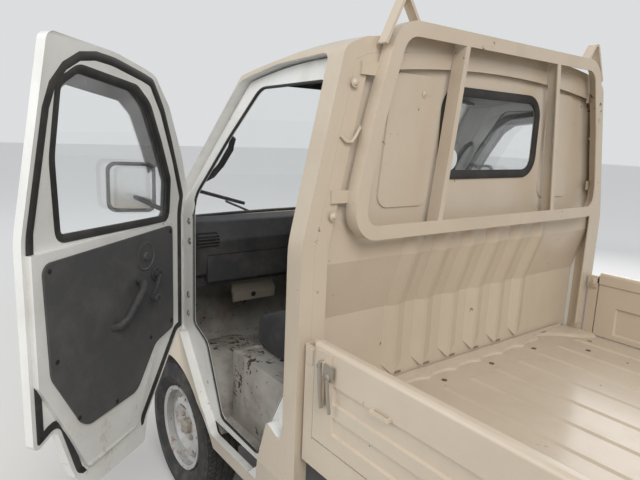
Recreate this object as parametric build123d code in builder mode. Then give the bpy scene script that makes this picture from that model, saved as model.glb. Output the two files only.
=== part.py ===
"""A kei truck: a two-seat cab over the front wheels and a flat load bed with three drop gates.

Units are millimetres. +Z is up, -Y is the front of the truck, +X is its left side.
Z 0 is the ground under the tyres, X 0 the truck's middle plane and Y 0 half its length.
"""
from build123d import *
import math
import os

# Whole vehicle
body_length = 3395.0
body_width = 1475.0
nose_y = -1697.5
tail_y = nose_y + body_length
half_width = body_width / 2

# Wheels and axles
wheelbase = 1900.0
front_overhang = 547.0
front_axle_y = nose_y + front_overhang
rear_axle_y = front_axle_y + wheelbase
half_track = half_width - 85.5
tyre_radius = 271.0
tyre_width = 145.0
rim_radius = 152.0
rim_width = 112.0
rim_wall = 5.0
flange_height = 11.0
spindle_radius = 22.0
running_gap = 0.05
seat_gap = 0.3
steer_axis_x = half_track - 60.0
drum_radius = 108.0

# Cab form
cab_nose_y = nose_y + 25.0
cab_tail_y = -332.0
cab_base_z = 335.0
cab_wall = 40.0
belt_z = 1150.0
side_lean = 0.22
rail_x = half_width - 109.5
rail_z = 1640.0
roof_side_x = half_width - 175.5
roof_side_z = 1668.0
roof_crown_z = 1708.0
roof_bend_y = -360.0
roof_bend_radius = 2500.0
roof_bend_rise = 1.0
roof_sheet = 16.0
header_half = 555.0
header_z = 1560.0
nose_corner = 150.0
nose_bow = 60.0

# Windscreen: it slants back as it rises and wraps round at both sides
screen_foot_y = -1287.0
screen_foot_z = 1200.0
screen_slant = 0.74
screen_bow = 80.0
screen_corner = 180.0
screen_push = math.hypot(1, screen_slant)
cowl_z = 1072.0
screen_top_z = 1610.0

# Joints between the cab's panels, and the front arches
front_split_y = -1330.0
bumper_rear_y = -1480.0
bumper_low_z = 300.0
bumper_top_z = 545.0
arch_radius = 302.0
arch_inner_x = 412.0

# Doors, drawn closed in the Y and Z of the truck
door_gap = 7.0
skin_depth = 24.0
jamb_depth = 31.0
hinge_edge_y = -1115.0
latch_edge_y = -400.0
door_open_deg = 54.0
door_axis_x = half_width - 3.5
door_axis_y = hinge_edge_y + 6.0
door_hinge_z = (790.0, 1030.0)
door_box_top_z = 1116.0
glass_depth = 14.0
glass_thick = 5.0
trim_thick = 7.0

# Hinge knuckles of the doors and gates
knuckle_radius = 5.5
pin_radius = 3.0
fixed_knuckle = 14.0
moving_knuckle = 18.0
knuckle_gap = 1.0
swing_gap = 5.0

# Bed
floor_z = 665.0
floor_sheet = 6.0
bed_front_y = -405.0
gate_front_y = -277.0
gate_rear_y = tail_y - 52.5
gate_height = 262.0
gate_thick = 28.0
gate_lift = 5.0
gate_axis_x = half_width - 6.5
gate_axis_z = floor_z - 1.0
gate_outer_x = gate_axis_x - 6.0
tailgate_y = tail_y - 40.5
tailgate_half = half_width - 51.5
tailgate_axis_y = tailgate_y + gate_thick + 6.0
gate_open_deg = 170.0

# Chassis
rail_inner_x = 395.0
rail_width = 50.0
rail_bottom_z = 440.0
rail_top_z = 545.0

# Guard frame behind the cab
guard_half_width = 606.0
guard_bottom_z = 1162.0
guard_top_z = 1717.0
guard_rear_y = -285.0
guard_depth = 42.0
guard_flange = 38.0
guard_sheet = 3.5

# Back wall of the cab
back_low_y = -405.0
back_high_y = -350.0
back_knee_z = (925.0, 1095.0)
back_sheet = 14.0
window_half = 240.0
window_z = (1319.0, 1569.0)

pieces = {}


def keep(name, part):
    """Label a finished piece and hold it for export."""
    part.label = name
    pieces[name] = part


def polygon_prism(plane, points, low, high, radius=0.0):
    """A prism on a plane between two offsets, with all its corners rounded."""
    with BuildPart() as prism:
        with BuildSketch(plane.offset(low)) as outline:
            with BuildLine():
                Polyline(*points, close=True)
            make_face()
            if radius:
                fillet(outline.vertices(), radius)
        extrude(amount=high - low)
    return prism.part


def box_between(low, high):
    """A box given by its lowest and highest corners."""
    size = [b - a for a, b in zip(low, high)]
    centre = [(a + b) / 2 for a, b in zip(low, high)]
    with BuildPart() as box:
        with Locations(tuple(centre)):
            Box(*size)
    return box.part


def rod(start, end, radius):
    """A round bar between two points."""
    path = Vector(*end) - Vector(*start)
    with BuildPart() as bar:
        with BuildSketch(Plane(origin=start, z_dir=path)):
            Circle(radius)
        extrude(amount=path.length)
    return bar.part


def other_side(part):
    """The same piece on the truck's right side."""
    return mirror(part, about=Plane.YZ)


def front_outline(inset):
    """The cab seen from the front, its edge set in by a distance."""
    with BuildSketch(Plane.XZ) as front:
        with BuildLine():
            Polyline((-roof_side_x, roof_side_z), (-rail_x, rail_z), (-half_width, belt_z), (-half_width, 480),
                     (25 - half_width, cab_base_z), (half_width - 25, cab_base_z), (half_width, 480),
                     (half_width, belt_z), (rail_x, rail_z), (roof_side_x, roof_side_z))
            ThreePointArc((roof_side_x, roof_side_z), (0, roof_crown_z), (-roof_side_x, roof_side_z))
        make_face()
        fillet([v for v in front.vertices() if abs(abs(v.X) - rail_x) < 1], 45)
        fillet([v for v in front.vertices() if abs(v.Y - belt_z) < 1], 300)
        if inset:
            offset(amount=-inset)
    return front.sketch


def roof_form(inset, tail):
    """Everything under the roof's face: its crown runs level from the tail, then bends down to the front."""
    wing = half_width + 80
    wing_z = rail_z - (wing - rail_x) * (roof_side_z - rail_z) / (rail_x - roof_side_x)
    lift = roof_bend_rise - inset
    edge = [(x, z + lift) for x, z in ((roof_side_x, roof_side_z), (rail_x, rail_z), (wing, wing_z))]
    with BuildPart() as form:
        with BuildSketch(Plane.XZ.offset(-roof_bend_y)) as section:
            with BuildLine():
                Polyline(*edge, (wing, cab_base_z - 40), (-wing, cab_base_z - 40),
                         *[(-x, z) for x, z in reversed(edge)])
                ThreePointArc((-roof_side_x, roof_side_z + lift), (0, roof_crown_z + lift),
                              (roof_side_x, roof_side_z + lift))
            make_face()
        extrude(amount=roof_bend_y - tail)
        revolve(section.sketch, axis=Axis((0, roof_bend_y, roof_crown_z - roof_bend_radius), (1, 0, 0)),
                revolution_arc=36)
    return form.part


def screen_form(inset, tail):
    """The cab's upper half: the windscreen's curve lofted up and back between plan outlines."""
    with BuildPart() as form:
        for z, lean in ((950.0, 0.0), (belt_z, 0.0), (1720.0, side_lean * (1720.0 - belt_z))):
            front = screen_foot_y + screen_slant * (z - screen_foot_z) + screen_push * inset
            half = half_width - lean + 2 - inset
            with BuildSketch(Plane.XY.offset(z)) as plan:
                with BuildLine():
                    Polyline((half, front + screen_bow), (half, tail), (-half, tail), (-half, front + screen_bow))
                    ThreePointArc((-half, front + screen_bow), (0, front), (half, front + screen_bow))
                make_face()
                fillet([v for v in plan.vertices() if v.Y < front + screen_bow + 1], screen_corner - inset)
        loft(ruled=True)
    return form.part


# Corners of the nose seen from the side, from the belt round to the foot: y, z and the radius of the corner
NOSE_SIDE = (
    (-1100.0, 1130.0, 60.0),
    (-1610.0, 925.0, 80.0),
    (-1668.0, 800.0, 90.0),
    (cab_nose_y, 700.0, 0.0),
    (cab_nose_y, 520.0, 60.0),
    (cab_nose_y + 25.0, cab_base_z, 0.0),
)


def nose_form(inset, tail):
    """The cab's lower half, under the hood line and round the nose."""
    half = half_width + 2
    with BuildPart() as form:
        with BuildSketch(Plane.YZ) as side:
            with BuildLine():
                Polyline((tail + inset, cab_base_z), (tail + inset, NOSE_SIDE[0][1]),
                         *[(y, z) for y, z, _ in NOSE_SIDE], close=True)
            make_face()
            for y, z, radius in NOSE_SIDE:
                if radius:
                    fillet([v for v in side.vertices() if abs(v.X - y) < 0.5 and abs(v.Y - z) < 0.5], radius)
            if inset:
                offset(amount=-inset)
        extrude(amount=body_width, both=True)
        with BuildSketch(Plane.XY) as plan:
            with BuildLine():
                Polyline((half, cab_nose_y + nose_bow), (half, tail + 60), (-half, tail + 60),
                         (-half, cab_nose_y + nose_bow))
                ThreePointArc((-half, cab_nose_y + nose_bow), (0, cab_nose_y), (half, cab_nose_y + nose_bow))
            make_face()
            fillet([v for v in plan.vertices() if v.Y < bumper_rear_y], nose_corner)
            if inset:
                offset(amount=-inset)
        extrude(amount=2 * belt_z, mode=Mode.INTERSECT)
    return form.part


def cab_block(inset, reach=0.0):
    """The cab as one closed block, its faces set in by a depth and its back end moved to the rear."""
    tail = cab_tail_y + reach
    with BuildPart() as block:
        add(screen_form(inset, tail))
        add(roof_form(inset, tail), mode=Mode.INTERSECT)
        add(nose_form(inset, tail))
        extrude(front_outline(inset), amount=3 * half_width, both=True, mode=Mode.INTERSECT)
    return block.part


# Outlines on the cab's left side, y and z with the door closed: corner, then the radius of the corner
DOOR_OUTLINE = (
    (hinge_edge_y, 705.0, 18.0), (hinge_edge_y, 1200.0, 60.0), (-1020.0, 1338.0, 300.0), (-900.0, 1490.0, 200.0),
    (-816.0, 1570.0, 60.0), (-765.0, 1582.0, 60.0), (-630.0, 1607.0, 400.0), (latch_edge_y, 1622.0, 18.0),
    (latch_edge_y, 602.0, 18.0), (-478.0, 633.0, 18.0), (-536.0, 455.0, 18.0), (-600.0, 398.0, 18.0),
    (-845.0, 398.0, 18.0), (-880.0, 470.0, 18.0), (-1075.0, 700.0, 18.0),
)
APERTURE = (
    (-1030.0, 1205.0, 60.0), (-880.0, 1400.0, 400.0), (-745.0, 1552.0, 60.0), (-405.0, 1560.0, 40.0),
    (-405.0, 779.0, 18.0), (-511.0, 583.0, 40.0), (-570.0, 462.0, 30.0), (-810.0, 470.0, 40.0),
    (-925.0, 700.0, 60.0), (-1030.0, 740.0, 30.0),
)
DOOR_WINDOW = (
    (-1024.0, 1127.0, 22.0), (-990.0, 1255.0, 60.0), (-895.0, 1380.0, 300.0), (-807.0, 1485.0, 120.0),
    (-737.0, 1526.0, 60.0), (-510.0, 1553.0, 40.0), (-455.0, 1515.0, 30.0), (-465.0, 1346.0, 200.0),
    (-523.0, 1139.0, 25.0),
)
DOOR_TRIM = (
    (-1014.0, 745.0, 20.0), (-1014.0, 1104.0, 20.0), (-440.0, 1090.0, 30.0), (-450.0, 790.0, 60.0),
    (-560.0, 600.0, 60.0), (-800.0, 600.0, 60.0), (-905.0, 725.0, 60.0),
)


def side_prism(outline, grow=0.0, low=400.0, high=900.0):
    """A prism across the truck's left side with a given outline, grown by a margin."""
    with BuildPart() as prism:
        with BuildSketch(Plane.YZ.offset(low)) as shape:
            with BuildLine():
                Polyline(*[(y, z) for y, z, _ in outline], close=True)
            make_face()
            for y, z, radius in outline:
                fillet([v for v in shape.vertices() if abs(v.X - y) < 0.5 and abs(v.Y - z) < 0.5], radius)
            if grow:
                offset(amount=grow)
        extrude(amount=high - low)
    return prism.part


def hinge(plane, fixed_leaf, moving_leaf):
    """A lift-off hinge on a plane whose normal is its axis: a plate with a pin, and a ring that turns on it.

    The leaves are the x and y that each half's plate reaches to from the axis. Returns the fixed half,
    the moving half, and the spaces that each half sweeps.
    """
    halves = []
    ring_z = knuckle_gap + moving_knuckle / 2
    for leaf, length, middle in ((fixed_leaf, fixed_knuckle, -fixed_knuckle / 2),
                                 (moving_leaf, moving_knuckle, ring_z)):
        for margin in (0, swing_gap):
            with BuildPart(plane) as half:
                with Locations((0, 0, middle)):
                    Cylinder(knuckle_radius + margin, length + 0.4 * margin)
                with Locations((leaf[0] / 2, leaf[1] / 2, middle)):
                    Box(abs(leaf[0]) + 4 + 1.2 * margin, abs(leaf[1]) + 4 + 1.2 * margin, length + 0.4 * margin)
                if not margin and middle < 0:
                    with Locations((0, 0, ring_z - knuckle_gap / 2)):
                        Cylinder(pin_radius, moving_knuckle + knuckle_gap)
                elif not margin:
                    with Locations((0, 0, middle)):
                        Cylinder(pin_radius + running_gap, moving_knuckle, mode=Mode.SUBTRACT)
            halves.append(half.part)
    fixed, fixed_space, moving, moving_space = halves
    return fixed, moving, fixed_space, moving_space


def wheel_arch_cut(side=1, radius=arch_radius):
    """The round space over a front wheel."""
    return rod((side * arch_inner_x, front_axle_y, tyre_radius), (side * 800, front_axle_y, tyre_radius), radius)


# Cab panels, cut from one shell so that they meet face to face
open_tail = 160.0
outer_block = cab_block(0)
inner_block = cab_block(cab_wall, open_tail)
skin_block = cab_block(skin_depth, open_tail)
jamb_block = cab_block(jamb_depth, open_tail)
fit_block = cab_block(cab_wall + seat_gap, open_tail)
under_roof = roof_form(roof_sheet, cab_tail_y + open_tail)

with BuildPart() as screen_space:
    with BuildSketch(Plane.XZ.offset(-bumper_rear_y - 600)) as screen:
        with BuildLine():
            Polyline((97.5 - half_width, cowl_z), (half_width - 97.5, cowl_z), (half_width - 197.5, screen_top_z),
                     (197.5 - half_width, screen_top_z), close=True)
        make_face()
        fillet(screen.vertices(), 55)
    extrude(amount=900)

front_wheel_space = wheel_arch_cut(1) + wheel_arch_cut(-1)
with BuildPart() as shell:
    add(outer_block)
    add(inner_block, mode=Mode.SUBTRACT)
    add(screen_space.part, mode=Mode.SUBTRACT)
    add(box_between((cab_wall - half_width, cab_nose_y + 60, 0), (half_width - cab_wall, 0, 470)), mode=Mode.SUBTRACT)
    add(front_wheel_space, mode=Mode.SUBTRACT)

nose_zone = box_between((-900, -1900, bumper_top_z), (900, front_split_y, cowl_z))
bumper_zone = box_between((-900, -1900, 0), (900, bumper_rear_y, bumper_top_z))
header_zone = box_between((-header_half, -1900, header_z), (header_half, 0, 2000))

# Headlamps let into the corners of the nose: distance from the cab's side, height
LAMP_OUTLINE = ((307.5, 655.0), (307.5, 770.0), (177.5, 815.0), (17.5, 830.0), (17.5, 690.0), (177.5, 650.0))


def lamp_prism(margin):
    """The space of the left headlamp, seen from the front."""
    with BuildPart() as prism:
        with BuildSketch(Plane.XZ.offset(-nose_y - 250)) as lamp:
            with BuildLine():
                Polyline(*[(half_width - x, z) for x, z in LAMP_OUTLINE], close=True)
            make_face()
            fillet(lamp.vertices(), 22)
            offset(amount=margin)
        extrude(amount=400)
    return prism.part


lamp_hole = lamp_prism(2)
with BuildPart() as front_panel:
    add(shell.part)
    add(nose_zone, mode=Mode.INTERSECT)
    add(lamp_hole, mode=Mode.SUBTRACT)
    add(other_side(lamp_hole), mode=Mode.SUBTRACT)
    with BuildSketch(Plane.XZ.offset(-cab_nose_y - 100)):
        with Locations((0, 606)):
            RectangleRounded(560, 62, 20)
    extrude(amount=200, mode=Mode.SUBTRACT)
    with BuildSketch(Plane.XZ.offset(-cab_nose_y - 36)):
        with Locations((0, 591), (0, 606), (0, 621)):
            Rectangle(580, 5)
    extrude(amount=20)
keep("front_panel", front_panel.part)

with BuildPart() as headlamps:
    add(cab_block(3, open_tail))
    add(cab_block(cab_wall - 2, open_tail), mode=Mode.SUBTRACT)
    add(lamp_prism(0), mode=Mode.INTERSECT)
    add(nose_zone, mode=Mode.INTERSECT)
    mirror(about=Plane.YZ)
keep("headlamps", headlamps.part)

door_space = side_prism(DOOR_OUTLINE, door_gap) - jamb_block
with BuildPart() as roof:
    add(shell.part)
    add(under_roof, mode=Mode.SUBTRACT)
    add(box_between((-900, -1900, 1400), (900, 0, 2000)), mode=Mode.INTERSECT)
    add(shell.part & header_zone)
    add(door_space, mode=Mode.SUBTRACT)
    add(other_side(door_space), mode=Mode.SUBTRACT)
keep("roof", roof.part)

# Side frame with its stepped door aperture and its hinge plates
door_fixed, door_moving = [], []
door_fixed_space, door_moving_space = [], []
for height in door_hinge_z:
    at = Plane(origin=(door_axis_x, door_axis_y, height), x_dir=(1, 0, 0), z_dir=(0, 0, 1))
    for found, half in zip((door_fixed, door_moving, door_fixed_space, door_moving_space),
                           hinge(at, (-10, -16), (-10, 14))):
        found.append(half)

with BuildPart() as cab_side:
    add(shell.part)
    for zone in (roof.part, nose_zone, bumper_zone, box_between((-900, -1900, 0), (200, 0, 2000)),
                 door_space, side_prism(APERTURE), *door_moving_space):
        add(zone, mode=Mode.SUBTRACT)
    for half in door_fixed:
        add(half)
keep("cab_side_left", cab_side.part)
keep("cab_side_right", other_side(cab_side.part))

# Windscreen, bonded into its opening
with BuildPart() as windscreen:
    add(cab_block(8, open_tail))
    add(cab_block(14, open_tail), mode=Mode.SUBTRACT)
    add(screen_space.part, mode=Mode.INTERSECT)
    add(box_between((-900, bumper_rear_y, cowl_z), (900, -850, screen_top_z)), mode=Mode.INTERSECT)
keep("windscreen", windscreen.part)

# Left door, closed: a skin with a flange round a thicker lower box, and its window cut
with BuildPart() as door:
    add(outer_block - skin_block)
    add(side_prism(DOOR_OUTLINE), mode=Mode.INTERSECT)
    add((skin_block - inner_block) & side_prism(APERTURE, -door_gap)
        & box_between((400, -1900, 0), (900, 0, door_box_top_z)))
    add(side_prism(DOOR_WINDOW), mode=Mode.SUBTRACT)
    for space in door_fixed_space:
        add(space, mode=Mode.SUBTRACT)
    for half in door_moving:
        add(half)
    add(rod((door_axis_x, door_axis_y, door_hinge_z[0] - 60), (door_axis_x, door_axis_y, door_hinge_z[1] + 60),
            pin_radius + running_gap), mode=Mode.SUBTRACT)

with BuildPart() as door_glass:
    add(cab_block(glass_depth, open_tail))
    add(cab_block(glass_depth + glass_thick, open_tail), mode=Mode.SUBTRACT)
    add(side_prism(DOOR_WINDOW, -seat_gap), mode=Mode.INTERSECT)

with BuildPart() as door_trim:
    add(inner_block)
    add(cab_block(cab_wall + trim_thick, open_tail), mode=Mode.SUBTRACT)
    add(side_prism(DOOR_TRIM), mode=Mode.INTERSECT)

# Mirror: an arm from the foot of the window's front corner, and a head that narrows to its back
mirror_head = (half_width + 144.5, -1060.0, 1215.0)
mirror_foot = (half_width - 12, -1046.0, 1140.0)
with BuildPart() as door_mirror:
    with BuildSketch(Plane(origin=mirror_head, x_dir=(0.81, 0.58, 0), z_dir=(0.58, -0.81, 0))):
        RectangleRounded(165, 175, 30)
    extrude(amount=38, taper=14)
    add(rod(mirror_foot, (mirror_head[0] + 8, mirror_head[1] - 12, mirror_head[2] - 30), 8))
    add(rod((mirror_foot[0] - 14, mirror_foot[1], mirror_foot[2]), (mirror_foot[0] + 18, mirror_foot[1], mirror_foot[2]),
            22))
    add(outer_block, mode=Mode.SUBTRACT)

hinge_line = Axis((door_axis_x, door_axis_y, 0), (0, 0, 1))
for name, part in (("door", door.part), ("glass", door_glass.part), ("trim", door_trim.part),
                   ("mirror", door_mirror.part)):
    keep(f"{name}_left", part.rotate(hinge_line, -door_open_deg))
    keep(f"{name}_right", other_side(part))

# Back wall of the cab: a bulged upper half over an upright lower one
WALL_PROFILE = ((back_low_y, floor_z - 20), (back_low_y, back_knee_z[0]), (back_high_y, back_knee_z[1]),
                (back_high_y, 1760.0))


def wall_strip(out, low_z, high_z, thick):
    """The wall's section in Y and Z, moved out by a height and cut between two levels."""
    line = [(y + out, z) for y, z in WALL_PROFILE]
    back = [(y - thick, z) for y, z in reversed(line)]
    with BuildSketch(Plane.YZ) as strip:
        with BuildLine():
            Polyline(*line, *back, close=True)
        make_face()
        with Locations((0, (low_z + high_z) / 2)):
            Rectangle(6 * half_width, high_z - low_z, mode=Mode.INTERSECT)
    return strip.sketch


rib_pitch = 131.0
rib_rise = 12.0
rib_crest = 7.0
rib_foot = 44.0
lip_width = 42.0
with BuildPart() as cab_back:
    extrude(wall_strip(0, floor_z - 20, 1760, back_sheet), amount=half_width, both=True)
    for number in range(6):
        rib_x = (number - 2.5) * rib_pitch
        sections = [Pos(rib_x + across, 0, 0) * wall_strip(out, 702 + 3 * (rib_rise - out), 1150, out + 2)
                    for across, out in ((-rib_foot, 0.5), (-rib_crest, rib_rise), (rib_crest, rib_rise),
                                        (rib_foot, 0.5))]
        loft(sections, ruled=True)
    with BuildSketch(Plane.XZ.offset(6 - back_high_y)) as pressings:
        for sign in (-1, 1):
            with BuildLine():
                Polyline((sign * 283, 1232), (sign * 490, 1232), (sign * 455, 1600), (sign * 283, 1600), close=True)
            make_face()
        fillet(pressings.vertices(), 40)
    extrude(amount=-11, taper=20)
    with BuildSketch(Plane.XZ.offset(-back_high_y - 50)):
        with Locations((0, sum(window_z) / 2)):
            RectangleRounded(2 * window_half, window_z[1] - window_z[0], 62)
    extrude(amount=120, mode=Mode.SUBTRACT)
    # Lip round the cab's open end, with its return to the wall
    for inner, depth in ((cab_wall + lip_width, 4.0), (cab_wall + 6, cab_tail_y - back_high_y + 2)):
        ring = front_outline(cab_wall + seat_gap) - front_outline(inner)
        extrude(Pos(0, cab_tail_y, 0) * ring, amount=depth)
    add(box_between((-900, cab_tail_y - 40, 0), (900, cab_tail_y + 40, floor_z + 40)), mode=Mode.SUBTRACT)
    extrude(front_outline(cab_wall + seat_gap), amount=-back_low_y + 60, both=True, mode=Mode.INTERSECT)
keep("cab_back", cab_back.part)

with BuildPart() as rear_window:
    with BuildSketch(Plane.XZ.offset(-back_high_y + 3)):
        with Locations((0, sum(window_z) / 2)):
            RectangleRounded(2 * (window_half - seat_gap), window_z[1] - window_z[0] - 2 * seat_gap, 62 - seat_gap)
    extrude(amount=5)
keep("rear_window", rear_window.part)

# Guard frame: a tapering flanged rim, two leaning uprights, and an ear at each top corner.
# Corners of the left half: half width, share of the height, radius of the corner
GUARD_OUTLINE = ((guard_half_width + 3, 0.0, 75.0), (guard_half_width, 0.22, 300.0), (guard_half_width - 44, 0.575, 300.0),
                 (guard_half_width - 111, 1.0, 90.0))
guard_height = guard_top_z - guard_bottom_z
guard_tip_y = guard_rear_y - guard_depth
guard_middle_z = (guard_bottom_z + guard_top_z) / 2


def guard_rim(width):
    """The rim's band seen from behind, with its outer edge on the guard's outline."""
    corners = [(x, guard_bottom_z + share * guard_height, radius) for x, share, radius in GUARD_OUTLINE]
    with BuildSketch(Plane.XZ.offset(-guard_rear_y)) as rim:
        with BuildLine():
            Polyline(*[(x, z) for x, z, _ in corners], *[(-x, z) for x, z, _ in reversed(corners)], close=True)
        make_face()
        for x, z, radius in corners:
            fillet([v for v in rim.vertices() if abs(abs(v.X) - x) < 0.5 and abs(v.Y - z) < 0.5], radius)
        offset(amount=-width, mode=Mode.SUBTRACT)
    return rim.sketch


with BuildPart() as guard:
    extrude(guard_rim(guard_flange), amount=guard_sheet)
    extrude(guard_rim(guard_sheet), amount=guard_depth)
    for sign in (-1, 1):
        for thick, depth in ((18.0, guard_sheet), (guard_sheet, guard_depth)):
            with BuildSketch(Plane.XZ.offset(-guard_rear_y)):
                with BuildLine():
                    Polyline((sign * 304, guard_bottom_z + guard_sheet), (sign * 236, guard_top_z - guard_sheet),
                             (sign * (236 - thick), guard_top_z - guard_sheet),
                             (sign * (304 - thick), guard_bottom_z + guard_sheet), close=True)
                make_face()
            extrude(amount=depth)
        with BuildSketch(Plane.XZ.offset(-guard_rear_y + 6)):
            with BuildLine():
                Polyline((sign * 532, guard_top_z - 62), (sign * 478, guard_top_z + 50),
                         (sign * 462, guard_top_z + 50), (sign * 424, guard_top_z - 2))
                offset(amount=4, side=Side.BOTH)
            make_face()
        extrude(amount=30)
        for z, inner, outer in ((guard_bottom_z + 112, 16, -50), (guard_top_z - 125, 91, 26)):
            low, high = sorted((sign * (guard_half_width - inner), sign * (guard_half_width - outer)))
            add(box_between((low, cab_tail_y, z - 16), (high, guard_tip_y + 3, z + 16)))
keep("guard_frame", guard.part)

# Cab floor, seat box and the liners over the front wheels
pan_z = 440.0
pan_half = half_width - cab_wall - seat_gap
seat_box_y = (-835.0, -425.0)
seat_box_z = 690.0
sheet = 10.0
box_half = half_width - 89.5
cab_floor = box_between((-pan_half, -1500, pan_z - sheet), (pan_half, seat_box_y[0] + sheet, pan_z))
for side in (-1, 1):
    ledge = (side * (box_half - sheet), side * pan_half)
    cab_floor = cab_floor + box_between((min(ledge), seat_box_y[0], pan_z - sheet), (max(ledge), seat_box_y[1], pan_z))
    wall = (side * (box_half - sheet), side * box_half)
    cab_floor = cab_floor + box_between((min(wall), seat_box_y[0], pan_z - 1), (max(wall), seat_box_y[1], seat_box_z))
cab_floor = cab_floor + box_between((-box_half, seat_box_y[0], pan_z - 1),
                                    (box_half, seat_box_y[0] + sheet, seat_box_z))
cab_floor = cab_floor + box_between((-box_half, seat_box_y[0], seat_box_z - sheet),
                                    (box_half, seat_box_y[1], seat_box_z))
cab_floor = cab_floor + box_between((-box_half, seat_box_y[1] - sheet, rail_top_z + 8),
                                    (box_half, seat_box_y[1], seat_box_z))
toe_board = polygon_prism(Plane.YZ, ((-1500, pan_z - sheet), (-1500, pan_z), (-1600, 640), (-1600, 880), (-1610, 880),
                                     (-1610, 636), (-1511, pan_z - sheet)), -620, 620)
cab_floor = (cab_floor + toe_board) - front_wheel_space
for side in (-1, 1):
    x_in, x_out = side * arch_inner_x, side * (half_width - cab_wall - seat_gap)
    house = rod((x_in, front_axle_y, tyre_radius), (x_out, front_axle_y, tyre_radius), arch_radius + sheet)
    house = house - rod((x_in + side * sheet, front_axle_y, tyre_radius), (x_out + side, front_axle_y, tyre_radius),
                        arch_radius)
    house = house & box_between((-900, -1900, 340), (900, 0, 900))
    cab_floor = cab_floor + house
cab_floor = cab_floor & fit_block
keep("cab_floor", cab_floor)

# Front bumper with its air slots
def bumper_plan(z, inset=0.0, reach=0.0):
    """The bumper seen from above, its edge set in and its back end moved to the rear."""
    rear = bumper_rear_y + reach
    with BuildSketch(Plane.XY.offset(z)) as plan:
        with BuildLine():
            Polyline((half_width, nose_y + 70), (half_width, rear), (-half_width, rear), (-half_width, nose_y + 70))
            ThreePointArc((-half_width, nose_y + 70), (0, nose_y), (half_width, nose_y + 70))
        make_face()
        fillet([v for v in plan.vertices() if v.Y < nose_y + 80], nose_corner)
        if inset:
            offset(amount=-inset)
    return plan.sketch


with BuildPart() as bumper:
    extrude(bumper_plan(bumper_low_z), amount=bumper_top_z - bumper_low_z)
    chamfer(bumper.faces().sort_by(Axis.Z)[0].edges().filter_by(lambda e: e.center().Y < bumper_rear_y - 20), 18)
    chamfer(bumper.faces().sort_by(Axis.Z)[-1].edges().filter_by(lambda e: e.center().Y < bumper_rear_y - 20), 8)
    extrude(bumper_plan(bumper_low_z - 10, 45, 60), amount=400, mode=Mode.SUBTRACT)
    with BuildSketch(Plane.XZ.offset(-nose_y - 200)):
        with Locations(*[(0, bumper_low_z + 60 + 32 * row) for row in range(4)]):
            RectangleRounded(640, 16, 7)
        with Locations((half_width - 130, bumper_low_z + 165), (130 - half_width, bumper_low_z + 165)):
            RectangleRounded(120, 46, 12)
    extrude(amount=400, mode=Mode.SUBTRACT)
    add(front_wheel_space, mode=Mode.SUBTRACT)
keep("front_bumper", bumper.part)

# Steering column and wheel on the driver's side
column_foot = Vector(-330, -1420, 560)
wheel_hub = Vector(-330, -1035, 985)
column_dir = (wheel_hub - column_foot).normalized()
column_top = wheel_hub - column_dir * 22
column_radius = 26.0
column = rod(tuple(column_foot), tuple(column_top), column_radius)
column = column + rod(tuple(column_top), tuple(column_top + column_dir * 30), 9)
keep("steering_column", column)

# Dashboard: its side profile cut to a front that follows the windscreen's curve
dash_half = half_width - 65.5
dash_front_y = -1323.0
dash_corner = 190.0
with BuildPart() as dashboard:
    with BuildSketch(Plane.YZ.offset(-dash_half)) as dash_side:
        with BuildLine():
            Polyline((dash_front_y, 1050), (-1240, 1090), (-1168, 1080), (-1130, 1010), (-1145, 880),
                     (-1250, 800), (dash_front_y, 800), close=True)
        make_face()
        fillet([v for v in dash_side.vertices() if v.X > dash_front_y + 1], 16)
    extrude(amount=2 * dash_half)
    with BuildSketch(Plane.XY.offset(700)) as dash_plan:
        with BuildLine():
            Polyline((dash_half, dash_front_y + screen_bow), (dash_half, -1000), (-dash_half, -1000),
                     (-dash_half, dash_front_y + screen_bow))
            ThreePointArc((-dash_half, dash_front_y + screen_bow), (0, dash_front_y),
                          (dash_half, dash_front_y + screen_bow))
        make_face()
        fillet([v for v in dash_plan.vertices() if v.Y < -1100], dash_corner)
    extrude(amount=500, mode=Mode.INTERSECT)
    with Locations((345, -1175, 900)):
        Box(510, 160, 110, mode=Mode.SUBTRACT)
    with Locations((345, -1190, 900)):
        Box(504, 100, 104)
    with Locations((0, -1225, 902)):
        Box(2 * pan_half, 110, 150)
    with BuildSketch(Plane.XZ.offset(1100)):
        with Locations(*[(sign * x, 1015) for sign in (-1, 1) for x in (600, 150)]):
            RectangleRounded(96, 52, 12)
    extrude(amount=52, mode=Mode.SUBTRACT)
    add(rod(tuple(column_foot), tuple(column_top), column_radius + seat_gap), mode=Mode.SUBTRACT)
keep("dashboard", dashboard.part)

# Seats: two soft squabs and backs
cushion = polygon_prism(Plane.YZ, ((-832, seat_box_z + seat_gap), (-840, 770), (-805, 812), (-560, 788),
                                   (-490, 800), (-490, seat_box_z + seat_gap)), 70, 590)
backrest = polygon_prism(Plane.YZ, ((-490 + seat_gap, seat_box_z + seat_gap), (-440, seat_box_z + seat_gap),
                                    (-418, 1200), (-440, 1245), (-480, 1240), (-510, 1180), (-550, 830),
                                    (-540, 800 + seat_gap), (-490 + seat_gap, 800 + seat_gap)), 90, 570)
seats = cushion + backrest
keep("seats", seats + other_side(seats))

wheel_radius = 178.0
wheel_plane = Plane(origin=tuple(wheel_hub), z_dir=tuple(column_dir))
with BuildPart(wheel_plane) as steering_wheel:
    with BuildSketch(Plane(origin=tuple(wheel_hub), x_dir=wheel_plane.x_dir, z_dir=wheel_plane.y_dir)):
        with Locations((wheel_radius, 0)):
            RegularPolygon(12.5, 8)
    revolve(axis=Axis(tuple(wheel_hub), tuple(column_dir)))
    Cylinder(48, 30)
    for angle in (0, 120, 240):
        with Locations(Rotation(0, 0, angle + 90)):
            with Locations((100, 0, 0)):
                Box(150, 26, 12)
    with Locations((0, 0, -10)):
        Cylinder(9 + running_gap, 40, mode=Mode.SUBTRACT)
keep("steering_wheel", steering_wheel.part)

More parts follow.
